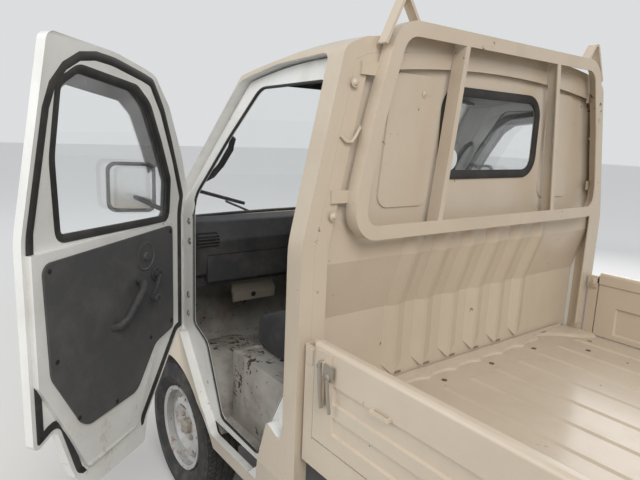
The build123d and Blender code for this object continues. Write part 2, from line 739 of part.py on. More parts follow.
# Ladder frame under the cab and bed: two stepped rails, then the members between them
front_rail_z = (330.0, pan_z - sheet)
front_rail_x = (rail_inner_x - 50, rail_inner_x)
rail_outer_x = rail_inner_x + rail_width
rail_tail_y = tail_y - 87.5
with BuildPart() as chassis_frame:
    with BuildSketch(Plane.YZ.offset(rail_inner_x)):
        with BuildLine():
            Polyline((-470, front_rail_z[0]), (-400, front_rail_z[0]), (-330, rail_bottom_z), (rail_tail_y, rail_bottom_z),
                     (rail_tail_y, rail_top_z), (-430, rail_top_z), (-470, 500), close=True)
        make_face()
    extrude(amount=rail_width)
    add(box_between((front_rail_x[0], -1560, front_rail_z[0]), (front_rail_x[1], -400, front_rail_z[1])))
    add(front_wheel_space, mode=Mode.SUBTRACT)
    mirror(about=Plane.YZ)
keep("chassis_frame", chassis_frame.part)

# Y, lowest z and half length of each member, and the tow eye under the rearmost
with BuildPart() as cross_members:
    for y, low, half in ((-1540, 350, front_rail_x[0]), (-900, 350, front_rail_x[0]),
                         (-250, rail_bottom_z, rail_inner_x), (420, rail_bottom_z, rail_inner_x),
                         (tail_y - 297.5, rail_bottom_z, rail_inner_x), (tail_y - 127.5, rail_bottom_z, rail_inner_x)):
        add(box_between((-half, y, low), (half, y + 40, low + 45)))
    tow_x, tow_thick, tow_radius = 260.0, 16.0, 15.0
    tow_y, tow_z = tail_y - 107.5, rail_bottom_z - 32
    with BuildSketch(Plane.YZ.offset(tow_x)):
        with Locations((tow_y, tow_z)):
            Circle(32)
        with Locations((tow_y, (tow_z + rail_bottom_z) / 2)):
            Rectangle(64, rail_bottom_z - tow_z)
        with Locations((tow_y, tow_z)):
            Circle(tow_radius, mode=Mode.SUBTRACT)
    extrude(amount=tow_thick / 2, both=True)
keep("cross_members", cross_members.part)

# Engine as one plain block on two arms between the rails
engine = box_between((-190, -812, 330), (190, -452, 640))
for y in (-760, -540):
    engine = engine + box_between((50 - rail_inner_x, y, front_rail_z[0] + 50), (rail_inner_x - 50, y + 40, front_rail_z[1]))
keep("engine", engine)

# Fuel tank on two brackets outside the left rail
tank_y = rear_axle_y - 562.5
with BuildPart() as fuel_tank:
    with Locations((rail_outer_x + 110, tank_y, 430)):
        Box(180, 420, 190)
    fillet(fuel_tank.edges().filter_by(Axis.Y), 30)
    for y in (tank_y - 130, tank_y + 110):
        add(box_between((rail_outer_x, y, 455), (rail_outer_x + 30, y + 30, 520)))
keep("fuel_tank", fuel_tank.part)

# Exhaust: down-pipe, silencer and tail pipe on the right side, hung from the cross members
exhaust_x, exhaust_z = -212.0, 372.0
exhaust = rod((exhaust_x, -492, exhaust_z), (exhaust_x, 210, exhaust_z), 19)
exhaust = exhaust + rod((exhaust_x, 200, exhaust_z), (exhaust_x, 560, exhaust_z), 60)
exhaust = exhaust + rod((exhaust_x, 550, exhaust_z), (exhaust_x, tail_y - 107.5, exhaust_z), 16)
exhaust = exhaust + box_between((exhaust_x - 10, -245, exhaust_z), (exhaust_x + 10, -215, rail_bottom_z))
exhaust = exhaust + box_between((exhaust_x - 10, tail_y - 292.5, exhaust_z), (exhaust_x + 10, tail_y - 262.5, rail_bottom_z))
exhaust = exhaust + box_between((exhaust_x, -492, exhaust_z - 15), (-190, -462, exhaust_z + 15))
keep("exhaust", exhaust)


# Wheels, drawn with their middle at the origin and their outer side toward +X
def wheel_rim():
    """A pressed steel rim: drop-centre barrel, slotted dish and hub."""
    half = rim_width / 2
    lip = rim_radius + flange_height
    well = rim_radius - 16
    with BuildPart() as rim:
        with BuildSketch(Plane.XY):
            with BuildLine():
                Polyline((-half, lip), (7 - half, lip), (9 - half, rim_radius), (34 - half, rim_radius),
                         (42 - half, well), (half - 42, well), (half - 34, rim_radius), (half - 9, rim_radius),
                         (half - 7, lip), (half, lip), (half - 5, rim_radius - rim_wall),
                         (half - 34, rim_radius - rim_wall), (half - 44, well - rim_wall),
                         (44 - half, well - rim_wall), (34 - half, rim_radius - rim_wall),
                         (5 - half, rim_radius - rim_wall), close=True)
            make_face()
        revolve(axis=Axis.X)
        with BuildSketch(Plane.XY):
            with BuildLine():
                Polyline((half - 44, well - 1), (half - 22, 112), (half - 16, 88), (half - 34, 62),
                         (half - 34, spindle_radius + running_gap), (half - 62, spindle_radius + running_gap),
                         (half - 62, 36), (half - 42, 42), (half - 40, 62), (half - 22, 90), (half - 28, 110),
                         (half - 50, well - 1), close=True)
            make_face()
        revolve(axis=Axis.X)
        with BuildSketch(Plane.YZ):
            with PolarLocations(116, 8):
                Trapezoid(20, 26, 78, rotation=90)
        extrude(amount=rim_width, both=True, mode=Mode.SUBTRACT)
    return rim.part


def tyre():
    """A radial tyre as one closed ring: bead, bulged wall, shoulder and a nearly flat tread."""
    bead = rim_width / 2 - 9.5
    half = tyre_width / 2
    # Distance from the middle plane and radius of each corner, from the bore to the tread
    corners = ((bead, rim_radius + seat_gap), (bead, rim_radius + 14), (half, rim_radius + 52),
               (half - 5, tyre_radius - 28), (half - 17, tyre_radius - 4), (half - 48, tyre_radius))
    with BuildPart() as ring:
        with BuildSketch(Plane.XY):
            with BuildLine():
                Polyline(*corners, *[(-x, radius) for x, radius in reversed(corners)], close=True)
            make_face()
        revolve(axis=Axis.X)
    return ring.part


def stub(inner_x):
    """A brake drum and the spindle beyond it, for the left side, from an inner face outward."""
    start = half_track + rim_width / 2 - 62 - 5
    with BuildPart(Plane.YZ) as hub:
        with Locations((0, 0, (inner_x + start) / 2)):
            Cylinder(drum_radius, start - inner_x)
        with Locations((0, 0, (inner_x + half_track + rim_width / 2 - 20) / 2)):
            Cylinder(spindle_radius, half_track + rim_width / 2 - 20 - inner_x)
    return hub.part


rim_model = wheel_rim()
tyre_model = tyre()
for place, y in (("front", front_axle_y), ("rear", rear_axle_y)):
    at = Pos(half_track, y, tyre_radius)
    keep(f"rim_{place}_left", at * rim_model)
    keep(f"tyre_{place}_left", at * tyre_model)
    keep(f"rim_{place}_right", other_side(at * rim_model))
    keep(f"tyre_{place}_right", other_side(at * tyre_model))

# Front hub carrier with its strut, on the ball pin of the lower arm
ball_radius = 8.0
arm_z = 134.0
arm_thick = 20.0
arm_top_z = arm_z + arm_thick
strut_x = steer_axis_x - 47
with BuildPart() as knuckle:
    add(Pos(0, front_axle_y, tyre_radius) * stub(half_track - 39))
    for low, high in (((-20, -26, arm_top_z + 6), (22, 26, 372)), ((-62, -20, 330), (-17, 20, 368)),
                      ((-32, 20, 215), (-6, 130, 235))):
        add(box_between((steer_axis_x + low[0], front_axle_y + low[1], low[2]),
                        (steer_axis_x + high[0], front_axle_y + high[1], high[2])))
    add(rod((strut_x, front_axle_y, 300), (strut_x, front_axle_y, 556), 17))
    add(rod((strut_x, front_axle_y, 470), (strut_x, front_axle_y, 480), 27))
    add(rod((steer_axis_x, front_axle_y, arm_z), (steer_axis_x, front_axle_y, arm_top_z + 52),
            ball_radius + running_gap), mode=Mode.SUBTRACT)
keep("knuckle_left", knuckle.part)
keep("knuckle_right", other_side(knuckle.part))

# Lower arms with their pins, and the member that carries them between the rails
with BuildPart() as front_suspension:
    with BuildSketch(Plane.XY.offset(arm_z)) as arm_plan:
        with BuildLine():
            Polyline(*[(x, front_axle_y + y) for x, y in
                       ((330, -70), (390, -70), (steer_axis_x - 32, -18), (steer_axis_x, -18), (steer_axis_x, 18),
                        (steer_axis_x - 32, 18), (390, 70), (330, 70))], close=True)
        make_face()
        with Locations((steer_axis_x, front_axle_y)):
            Circle(18)
    extrude(amount=arm_thick)
    add(rod((steer_axis_x, front_axle_y, arm_z + 4), (steer_axis_x, front_axle_y, arm_top_z + 50), ball_radius))
    for y in (front_axle_y - 40, front_axle_y + 10):
        add(box_between((front_rail_x[0], y, arm_z + 2), (front_rail_x[0] + 40, y + 30, front_rail_z[0])))
    mirror(about=Plane.YZ)
    add(box_between((-front_rail_x[0], front_axle_y - 45, arm_z - 4), (front_rail_x[0], front_axle_y + 45, arm_z + 44)))
keep("front_suspension", front_suspension.part)

# Rear axle with its differential, and the propeller shaft from the engine
axle_radius = 30.0
diff_x = 60.0
with BuildPart() as rear_axle:
    add(Pos(0, rear_axle_y, tyre_radius) * stub(half_track - 52))
    mirror(about=Plane.YZ)
    add(rod((52 - half_track, rear_axle_y, tyre_radius), (half_track - 52, rear_axle_y, tyre_radius), axle_radius))
    with BuildSketch(Plane.XY.offset(tyre_radius)):
        with BuildLine():
            Polyline((diff_x - 100, rear_axle_y), (diff_x - 70, rear_axle_y + 80), (diff_x - 25, rear_axle_y + 108),
                     (diff_x + 25, rear_axle_y + 108), (diff_x + 70, rear_axle_y + 80), (diff_x + 100, rear_axle_y),
                     close=True)
        make_face()
    revolve(axis=Axis((0, rear_axle_y, tyre_radius), (1, 0, 0)))
    add(rod((diff_x, rear_axle_y - 170, tyre_radius + 10), (diff_x, rear_axle_y, tyre_radius), 42))
    add(rod((diff_x, -444, 400), (diff_x, rear_axle_y - 160, tyre_radius + 10), 26))
keep("rear_axle", rear_axle.part)

# Leaf springs over the axle, with an eye at the front and a shackle at the back
spring_x = rail_inner_x + rail_width / 2
spring_low_z = tyre_radius + axle_radius + 8
with BuildPart() as spring:
    for number, half in enumerate((430, 330, 220)):
        base = spring_low_z + (2 - number) * 9
        with BuildSketch(Plane.YZ.offset(spring_x)) as leaf:
            with BuildLine():
                ThreePointArc((rear_axle_y - half, base + 70 * (half / 430) ** 2), (rear_axle_y, base),
                              (rear_axle_y + half, base + 70 * (half / 430) ** 2))
                offset(amount=4.6, side=Side.BOTH)
            make_face()
        extrude(amount=28, both=True)
    with Locations((spring_x, rear_axle_y, spring_low_z + 9)):
        Box(70, 90, 34)
leaf_spring = spring.part
eye_z = spring_low_z + 18 + 70
for y in (rear_axle_y - 430, rear_axle_y + 430):
    leaf_spring = leaf_spring + rod((spring_x - 30, y, eye_z), (spring_x + 30, y, eye_z), 17)
    leaf_spring = leaf_spring + box_between((spring_x - 24, y - 16, eye_z), (spring_x + 24, y + 16, rail_bottom_z))
keep("leaf_springs", leaf_spring + other_side(leaf_spring))

# Bed frame: side and rear sills, cross members, mounting blocks and corner posts
sill_z = (585.0, floor_z - floor_sheet)
sill_x = (half_width - 77.5, half_width - 15.5)
post_x = half_width - 40.5
post_top_z = 908.0
cab_clear_y = cab_tail_y + 12
sill_rear_y = tailgate_y + gate_thick - 2
side_hinge_y = (250.0, 1130.0)
tail_hinge_x = (-430.0, 430.0)
gate_fixed_space, gate_moving, tail_fixed_space, tail_moving = [], [], [], []
with BuildPart() as bed_frame:
    add(box_between((sill_x[0], cab_clear_y, sill_z[0]), (sill_x[1], sill_rear_y, sill_z[1])))
    with BuildSketch(Plane.XY.offset(sill_z[0])):
        with Locations(((post_x + sill_x[1]) / 2, (cab_clear_y + gate_front_y - swing_gap) / 2)):
            Rectangle(sill_x[1] - post_x, gate_front_y - swing_gap - cab_clear_y)
            Rectangle(sill_x[1] - post_x - 7, gate_front_y - swing_gap - cab_clear_y - 7, mode=Mode.SUBTRACT)
        with Locations(((post_x + sill_x[1]) / 2, (gate_rear_y + swing_gap + sill_rear_y + 2) / 2)):
            Rectangle(sill_x[1] - post_x, sill_rear_y + 2 - gate_rear_y - swing_gap)
    extrude(amount=post_top_z - sill_z[0])
    for y in (-300.0, 100.0, 560.0, 1020.0, 1440.0):
        add(box_between((rail_inner_x, y, rail_top_z), (rail_outer_x, y + 50, 610)))
        add(box_between((0, y, 605), (sill_x[0], y + 50, sill_z[1])))
    add(box_between((0, gate_rear_y - 13, sill_z[0]), (sill_x[0], sill_rear_y, sill_z[1])))
    for y in side_hinge_y:
        at = Plane(origin=(gate_axis_x, y, gate_axis_z), x_dir=(1, 0, 0), z_dir=(0, 1, 0))
        fixed, moving, fixed_space, moving_space = hinge(at, (-14, 12), (-10, -10))
        add(moving_space, mode=Mode.SUBTRACT)
        add(fixed)
        gate_moving.append(moving)
        gate_fixed_space.append(fixed_space)
    mirror(about=Plane.YZ)
    for x in tail_hinge_x:
        at = Plane(origin=(x, tailgate_axis_y, gate_axis_z), x_dir=(0, 1, 0), z_dir=(1, 0, 0))
        fixed, moving, fixed_space, moving_space = hinge(at, (-12, -12), (-10, 10))
        add(moving_space, mode=Mode.SUBTRACT)
        add(fixed)
        tail_moving.append(moving)
        tail_fixed_space.append(fixed_space)
    # Two holes for a rear number plate
    plate_pitch = 210.0
    plate_hole_radius = 3.5
    plate_z = 618.0
    with BuildSketch(Plane.XZ.offset(-sill_rear_y - 10)):
        with Locations((-plate_pitch / 2, plate_z), (plate_pitch / 2, plate_z)):
            Circle(plate_hole_radius)
    extrude(amount=35, mode=Mode.SUBTRACT)
keep("bed_frame", bed_frame.part)

# Bed floor with pressed ribs and a raised front flange
tongue_half = half_width - 85.5
floor_front_y = back_low_y + 7
floor_rib_pitch = 131.0
with BuildPart() as bed_floor:
    add(box_between((-sill_x[1], cab_clear_y, sill_z[1]), (sill_x[1], sill_rear_y, floor_z)))
    add(box_between((-tongue_half, floor_front_y, sill_z[1]), (tongue_half, cab_clear_y + 5, floor_z)))
    add(box_between((-tongue_half, floor_front_y, sill_z[1]), (tongue_half, floor_front_y + 5, floor_z + 22)))
    with BuildSketch(Plane.XY.offset(floor_z)):
        with Locations(*[((n - 4.5) * floor_rib_pitch, (gate_rear_y - 45 - 290) / 2) for n in range(10)]):
            Rectangle(36, gate_rear_y - 45 + 290)
    extrude(amount=5, taper=60)
    for x in tail_hinge_x:
        add(box_between((x - 40, tailgate_axis_y - 18, 640), (x + 40, sill_rear_y + 100, 700)), mode=Mode.SUBTRACT)
    notches = [(y - 40, y + 40, gate_axis_x - 18) for y in side_hinge_y]
    notches += [(cab_clear_y - 1, gate_front_y - swing_gap + 1, post_x - 1),
                (gate_rear_y + swing_gap - 1, sill_rear_y + 10, post_x - 1)]
    for low_y, high_y, x in notches:
        notch = box_between((x, low_y, 600), (x + 100, high_y, 700))
        add(notch, mode=Mode.SUBTRACT)
        add(other_side(notch), mode=Mode.SUBTRACT)
keep("bed_floor", bed_floor.part)


# Drop gates: each lies along X, its outer face toward -Y, its hinge line 6 mm outside and below
hook_z = gate_height - 88
hook_y = -10.0


def gate_panel(length, recesses, hooks, latches):
    """A gate with its pressed recesses, rope hooks and end latches."""
    low, high = gate_lift, gate_height
    pitch = (length - 90) / recesses
    across = [(n - (recesses - 1) / 2) * pitch for n in range(recesses)]
    with BuildPart() as panel:
        with BuildSketch(Plane.YZ) as section:
            with BuildLine():
                Polyline((0, low), (gate_thick, low), (gate_thick, high - 50), (gate_thick + 6, high - 44),
                         (gate_thick + 6, high), (0, high), close=True)
            make_face()
            fillet([v for v in section.vertices() if v.Y > high - 1], 12)
        extrude(amount=length / 2, both=True)
        with BuildSketch(Plane.XZ):
            with Locations(*[(x, z) for x in across for z in (70, high - 112)]):
                Rectangle(pitch - 60, 48)
        extrude(amount=-7, taper=30, mode=Mode.SUBTRACT)
        with BuildSketch(Plane.XZ.offset(-gate_thick)):
            with Locations(*[(x, 78) for x in across]):
                Rectangle(pitch - 60, 110)
        extrude(amount=9, taper=30, mode=Mode.SUBTRACT)
        # A rope hook is a bent strap with both ends in the outer face
        for x in hooks:
            with BuildSketch(Plane.XY.offset(hook_z)):
                with BuildLine():
                    Polyline((x - 26, 4), (x - 26, hook_y), (x + 26, hook_y), (x + 26, 4))
                    offset(amount=3.5, side=Side.BOTH)
                make_face()
            extrude(amount=7)
        for sign in latches:
            x = sign * (length / 2 - 40)
            add(box_between((x - 30, -5, high - 66), (x + 30, 2, high - 14)))
            with BuildSketch(Plane.XZ.offset(4)):
                with BuildLine():
                    Polyline((x - 10, high - 34), (x + 10, high - 34), (x + 7, high - 152), (x - 7, high - 152),
                             close=True)
                make_face()
            extrude(amount=8)
    return panel.part


side_gate = gate_panel(gate_rear_y - gate_front_y, 3, (-717.0, -240.0, 240.0, 717.0), (-1, 1))
side_gate = Location((gate_outer_x, (gate_front_y + gate_rear_y) / 2, floor_z), (0, 0, 90)) * side_gate
with BuildPart() as gate:
    add(side_gate)
    for moving, space in zip(gate_moving, gate_fixed_space):
        add(space, mode=Mode.SUBTRACT)
        add(moving)
keep("gate_left", gate.part)
keep("gate_right", other_side(gate.part))

tail_gate = gate_panel(2 * tailgate_half, 2, (-330.0, 330.0), ())
with BuildPart() as tailgate:
    add(Location((0, tailgate_y + gate_thick, floor_z), (0, 0, 180)) * tail_gate)
    for moving, space in zip(tail_moving, tail_fixed_space):
        add(space, mode=Mode.SUBTRACT)
        add(moving)
keep("tailgate", tailgate.part)

# Rear lamps on brackets under the rear sill, and mudguards behind the rear wheels
with BuildPart() as rear_lamps:
    with Locations((half_width - 137.5, tailgate_y + 8, 545)):
        Box(170, 46, 78)
    chamfer(rear_lamps.faces().sort_by(Axis.Y)[-1].edges(), 8)
    add(box_between((half_width - 167.5, tailgate_y - 7, 580), (half_width - 107.5, tailgate_y + 23, sill_z[0])))
    mirror(about=Plane.YZ)
keep("rear_lamps", rear_lamps.part)

with BuildPart() as rear_mudguards:
    add(box_between((half_track - 77, rear_axle_y + 330, 250), (half_track + 66, rear_axle_y + 334, sill_z[0])))
    mirror(about=Plane.YZ)
keep("rear_mudguards", rear_mudguards.part)

# The exported frame stands at the middle of the bed floor's top
datum_y = (cab_clear_y + tailgate_y) / 2
os.makedirs("parts", exist_ok=True)
for name, part in pieces.items():
    placed = Pos(0, -datum_y, -floor_z) * part
    placed.label = name
    export_step(placed, f"parts/{name}.step")
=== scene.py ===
"""A kei truck with its left door open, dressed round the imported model.

Sizes are written in millimetres in the truck's own measure: Z 0 is the ground, Y 0 half its length, -Y
the front and +X the left side. `place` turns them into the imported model's metres.
"""
import logging
import math
from dataclasses import dataclass, field
from enum import Enum
from typing import Callable, Sequence

import bmesh
import bpy
from mathutils import Matrix, Vector


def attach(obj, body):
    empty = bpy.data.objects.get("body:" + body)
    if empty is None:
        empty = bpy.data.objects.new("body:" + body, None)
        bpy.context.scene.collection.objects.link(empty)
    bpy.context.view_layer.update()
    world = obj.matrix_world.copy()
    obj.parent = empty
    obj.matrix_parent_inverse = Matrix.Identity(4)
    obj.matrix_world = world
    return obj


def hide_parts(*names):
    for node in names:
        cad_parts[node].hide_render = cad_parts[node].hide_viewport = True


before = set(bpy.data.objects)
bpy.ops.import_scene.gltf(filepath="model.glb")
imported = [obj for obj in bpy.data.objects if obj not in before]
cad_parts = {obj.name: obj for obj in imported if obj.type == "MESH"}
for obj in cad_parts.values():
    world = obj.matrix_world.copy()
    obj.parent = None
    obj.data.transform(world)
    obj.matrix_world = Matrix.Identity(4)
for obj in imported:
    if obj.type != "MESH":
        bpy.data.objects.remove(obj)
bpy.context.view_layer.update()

log = logging.getLogger("kei_truck")

Point = tuple[float, float, float]
Colour = tuple[float, float, float]
Outline = Sequence[tuple[float, float]]
Corners = Sequence[tuple[float, float, float]]
Socket = bpy.types.NodeSocket

MM_PER_M = 1000.0
DATUM_Y = 668.5
DATUM_Z = 665.0
HALF_WIDTH = 737.5
HALF_TRACK = 652.0
BELT_Z = 1150.0
LEAN = 0.22
SCREEN_SLANT = 0.74
SCREEN_PUSH = 1.244
SCREEN_FOOT_Y, SCREEN_FOOT_Z, SCREEN_BOW = -1287.0, 1200.0, 80.0
BUMPER_FACE_Y, BUMPER_BOW, BUMPER_CORNER = -1697.5, 70.0, 150.0


def along_m(y: float) -> float:
    """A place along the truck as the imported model's Y, in metres."""
    return (y - DATUM_Y) / MM_PER_M


def height_m(z: float) -> float:
    """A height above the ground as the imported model's Z, in metres."""
    return (z - DATUM_Z) / MM_PER_M


def place(x: float, y: float, z: float) -> Vector:
    """A point of the truck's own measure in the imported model's metres.

    Args:
        x: Millimetres to the left of the middle plane.
        y: Millimetres behind half the length.
        z: Millimetres above the ground.

    Returns:
        The same point in metres from the bed floor's middle.
    """
    return Vector((x, y - DATUM_Y, z - DATUM_Z)) / MM_PER_M


class Side(Enum):
    """Which side of the truck a piece is on."""

    LEFT = 1
    RIGHT = -1

    @property
    def word(self) -> str:
        """The side as it stands in node names."""
        return self.name.lower()


class Shade(Enum):
    """How glossy a finish is, as a roughness."""

    GLOSS = 0.24
    SATIN = 0.42
    DULL = 0.62
    MATT = 0.85


class NodeBench:
    """Places and wires the shader nodes of one material."""

    def __init__(self, name: str) -> None:
        """Start an empty node tree.

        Args:
            name: The material's name.
        """
        self.material = bpy.data.materials.new(name)
        self.material.use_nodes = True
        self.tree = self.material.node_tree
        self.tree.nodes.clear()
        self.output = self.tree.nodes.new("ShaderNodeOutputMaterial")
        self.shader = self.tree.nodes.new("ShaderNodeBsdfPrincipled")
        self.tree.links.new(self.shader.outputs[0], self.output.inputs["Surface"])
        self.coordinate = self.tree.nodes.new("ShaderNodeTexCoord")

    def feed(self, socket: Socket, value: object) -> None:
        """Link an output to a socket, or write a plain value into it.

        Args:
            socket: The socket to feed.
            value: An output, a number or a colour of three parts.
        """
        if isinstance(value, Socket):
            self.tree.links.new(value, socket)
        elif isinstance(value, tuple) and len(value) == 3 and socket.type == "RGBA":
            socket.default_value = (*value, 1.0)
        else:
            socket.default_value = value

    def math(self, operation: str, first: object, second: object = 0.0, third: object = 0.0) -> Socket:
        """Do one sum on sockets or numbers.

        Args:
            operation: Name of the math node's operation.
            first: First socket or number.
            second: Second socket or number.
            third: Third socket or number.

        Returns:
            The result's socket.
        """
        node = self.tree.nodes.new("ShaderNodeMath")
        node.operation = operation
        for socket, value in zip(node.inputs, (first, second, third)):
            self.feed(socket, value)
        return node.outputs[0]

    def times(self, first: object, second: object) -> Socket:
        """Product of two sockets or numbers."""
        return self.math("MULTIPLY", first, second)

    def plus(self, first: object, second: object) -> Socket:
        """Sum of two sockets or numbers."""
        return self.math("ADD", first, second)

    def minus(self, first: object, second: object) -> Socket:
        """First less second."""
        return self.math("SUBTRACT", first, second)

    def times_plus(self, first: object, factor: object, addend: object) -> Socket:
        """First times a factor, and an addend on top."""
        return self.math("MULTIPLY_ADD", first, factor, addend)

    def larger(self, first: object, second: object) -> Socket:
        """The larger of two sockets or numbers."""
        return self.math("MAXIMUM", first, second)

    def over(self, value: object, limit: object) -> Socket:
        """1 where a value is over a limit, otherwise 0."""
        return self.math("GREATER_THAN", value, limit)

    def under(self, value: object, limit: object) -> Socket:
        """1 where a value is under a limit, otherwise 0."""
        return self.math("LESS_THAN", value, limit)

    def sine(self, angle: object) -> Socket:
        """Sine of an angle in radians."""
        return self.math("SINE", angle)

    def unsigned(self, value: object) -> Socket:
        """A value without its sign."""
        return self.math("ABSOLUTE", value)

    def dot(self, vector: object, direction: Sequence[float]) -> Socket:
        """How far a vector points along a fixed direction.

        Args:
            vector: Socket of the vector.
            direction: The direction, of length 1.

        Returns:
            Socket of the product.
        """
        node = self.tree.nodes.new("ShaderNodeVectorMath")
        node.operation = "DOT_PRODUCT"
        self.feed(node.inputs[0], vector)
        node.inputs[1].default_value = tuple(direction)
        return node.outputs["Value"]

    def scaled(self, factors: Sequence[float]) -> Socket:
        """Object coordinates stretched by a factor for each axis.

        Args:
            factors: One factor for each axis.

        Returns:
            Socket of the stretched coordinates.
        """
        node = self.tree.nodes.new("ShaderNodeVectorMath")
        node.operation = "MULTIPLY"
        self.feed(node.inputs[0], self.coordinate.outputs["Object"])
        node.inputs[1].default_value = tuple(factors)
        return node.outputs[0]

    def axis(self, letter: str) -> Socket:
        """One object coordinate in metres.

        Args:
            letter: X, Y or Z.

        Returns:
            The coordinate's socket.
        """
        node = self.tree.nodes.new("ShaderNodeSeparateXYZ")
        self.feed(node.inputs[0], self.coordinate.outputs["Object"])
        return node.outputs[letter]

    def noise(self, scale: float, detail: float = 4.0, stretch: Sequence[float] = (1, 1, 1),
              roughness: float = 0.6) -> Socket:
        """Cloudy noise in object space.

        Args:
            scale: Clouds per metre.
            detail: Octaves of finer noise.
            stretch: Factors that squeeze the noise along each axis.
            roughness: Share of the finer octaves.

        Returns:
            The noise's factor from 0 to 1.
        """
        node = self.tree.nodes.new("ShaderNodeTexNoise")
        self.feed(node.inputs["Vector"], self.scaled(stretch))
        node.inputs["Scale"].default_value = scale
        node.inputs["Detail"].default_value = detail
        node.inputs["Roughness"].default_value = roughness
        return node.outputs["Fac"]

    def ramp(self, value: object, low: float, high: float) -> Socket:
        """Map a value so that low gives 0 and high gives 1, held between them.

        Args:
            value: Socket of the value.
            low: What gives 0.
            high: What gives 1; it may be the smaller of the two.

        Returns:
            Socket of the share.
        """
        node = self.tree.nodes.new("ShaderNodeMapRange")
        node.interpolation_type = "SMOOTHSTEP"
        self.feed(node.inputs["Value"], value)
        node.inputs["From Min"].default_value = low
        node.inputs["From Max"].default_value = high
        return node.outputs["Result"]

    def blend(self, share: object, first: object, second: object) -> Socket:
        """Mix two colours by a share.

        Args:
            share: Socket or number from 0 for the first colour to 1 for the second.
            first: First colour, or its socket.
            second: Second colour, or its socket.

        Returns:
            Socket of the mixed colour.
        """
        node = self.tree.nodes.new("ShaderNodeMix")
        node.data_type = "RGBA"
        self.feed(node.inputs["Factor"], share)
        first_colour, second_colour, mixed_colour = node.inputs[6], node.inputs[7], node.outputs[2]
        self.feed(first_colour, first)
        self.feed(second_colour, second)
        return mixed_colour

    def bump(self, height: object, strength: float, distance: float) -> None:
        """Raise the surface by a height pattern.

        Args:
            height: Socket of the pattern.
            strength: How much of the effect shows.
            distance: Height in metres that 1 stands for.
        """
        node = self.tree.nodes.new("ShaderNodeBump")
        node.inputs["Strength"].default_value = strength
        node.inputs["Distance"].default_value = distance
        self.feed(node.inputs["Height"], height)
        self.tree.links.new(node.outputs[0], self.shader.inputs["Normal"])

    def finish(self, colour: object, rough: object, metallic: float = 0.0) -> bpy.types.Material:
        """Feed the shader and hand the material over.

        Args:
            colour: The base colour, or its socket.
            rough: The roughness, or its socket.
            metallic: 1 for bare metal.

        Returns:
            The finished material.
        """
        self.feed(self.shader.inputs["Base Color"], colour)
        self.feed(self.shader.inputs["Roughness"], rough)
        self.shader.inputs["Metallic"].default_value = metallic
        return self.material


SAND: Colour = (0.550, 0.465, 0.362)
SAND_DEEP: Colour = (0.415, 0.335, 0.248)
GRIME: Colour = (0.085, 0.058, 0.038)
RUST: Colour = (0.200, 0.075, 0.028)
OLD_WHITE: Colour = (0.760, 0.760, 0.735)
CHASSIS_BLACK: Colour = (0.022, 0.022, 0.023)
COAT_RELIEF = 0.35
CHIP_DEPTH_M = 0.0004


@dataclass(frozen=True)
class Paint:
    """Brushed-on paint over an older coat, with stains, chips and rust.

    Attributes:
        name: The material's name.
        colour: The coat's colour.
        deep: The colour in stained and thin places.
        beneath: What shows in the chips.
        stain: How much of the surface is stained.
        chips: How many chips there are.
        rust: How much rust gathers low down.
        shade: How glossy the coat is.
        coat: Strength of the clear gloss over it.
    """

    name: str
    colour: Colour
    deep: Colour
    beneath: Colour = (0.10, 0.075, 0.055)
    stain: float = 0.45
    chips: float = 0.35
    rust: float = 0.2
    shade: Shade = Shade.SATIN
    coat: float = 0.35

    def mix(self, bench: NodeBench) -> tuple[Socket, Socket, Socket]:
        """Wire the coat.

        Args:
            bench: The material's node bench.

        Returns:
            Sockets of the colour, the roughness and the height.
        """
        cloud = bench.ramp(bench.noise(2.6, 5.0), 0.42, 0.72)
        run = bench.ramp(bench.noise(7.0, 4.0, (1.0, 1.0, 0.22)), 0.46, 0.78)
        speck = bench.ramp(bench.noise(150.0, 3.0), 0.60, 0.74)
        stained = bench.times(bench.larger(cloud, run), self.stain)
        colour = bench.blend(stained, self.colour, self.deep)
        colour = bench.blend(bench.times(speck, 0.30 * self.stain), colour, GRIME)
        chip_edge = 0.80 - 0.14 * self.chips
        flakes = bench.times(bench.noise(34.0, 6.0, roughness=0.7), 0.62)
        patches = bench.times(bench.noise(4.5, 3.0), 0.45)
        chip = bench.ramp(bench.plus(flakes, patches), chip_edge - 0.115, chip_edge - 0.095)
        colour = bench.blend(chip, colour, self.beneath)
        low = bench.ramp(bench.axis("Z"), 0.12, -0.28)
        blooms = bench.ramp(bench.noise(16.0, 7.0, roughness=0.72), 0.56, 0.64)
        rusty = bench.times(blooms, bench.times(low, self.rust))
        colour = bench.blend(rusty, colour, RUST)
        rough = bench.plus(bench.times(stained, 0.22), self.shade.value)
        rough = bench.plus(rough, bench.times(bench.larger(chip, rusty), 0.3))
        height = bench.minus(bench.times(bench.noise(420.0, 2.0), 0.35), chip)
        return colour, rough, height

    def material(self) -> bpy.types.Material:
        """Build the whole material.

        Returns:
            The material.
        """
        bench = NodeBench(self.name)
        colour, rough, height = self.mix(bench)
        bench.bump(height, COAT_RELIEF, CHIP_DEPTH_M)
        bench.shader.inputs["Coat Weight"].default_value = self.coat
        bench.shader.inputs["Coat Roughness"].default_value = 0.18
        return bench.finish(colour, rough)


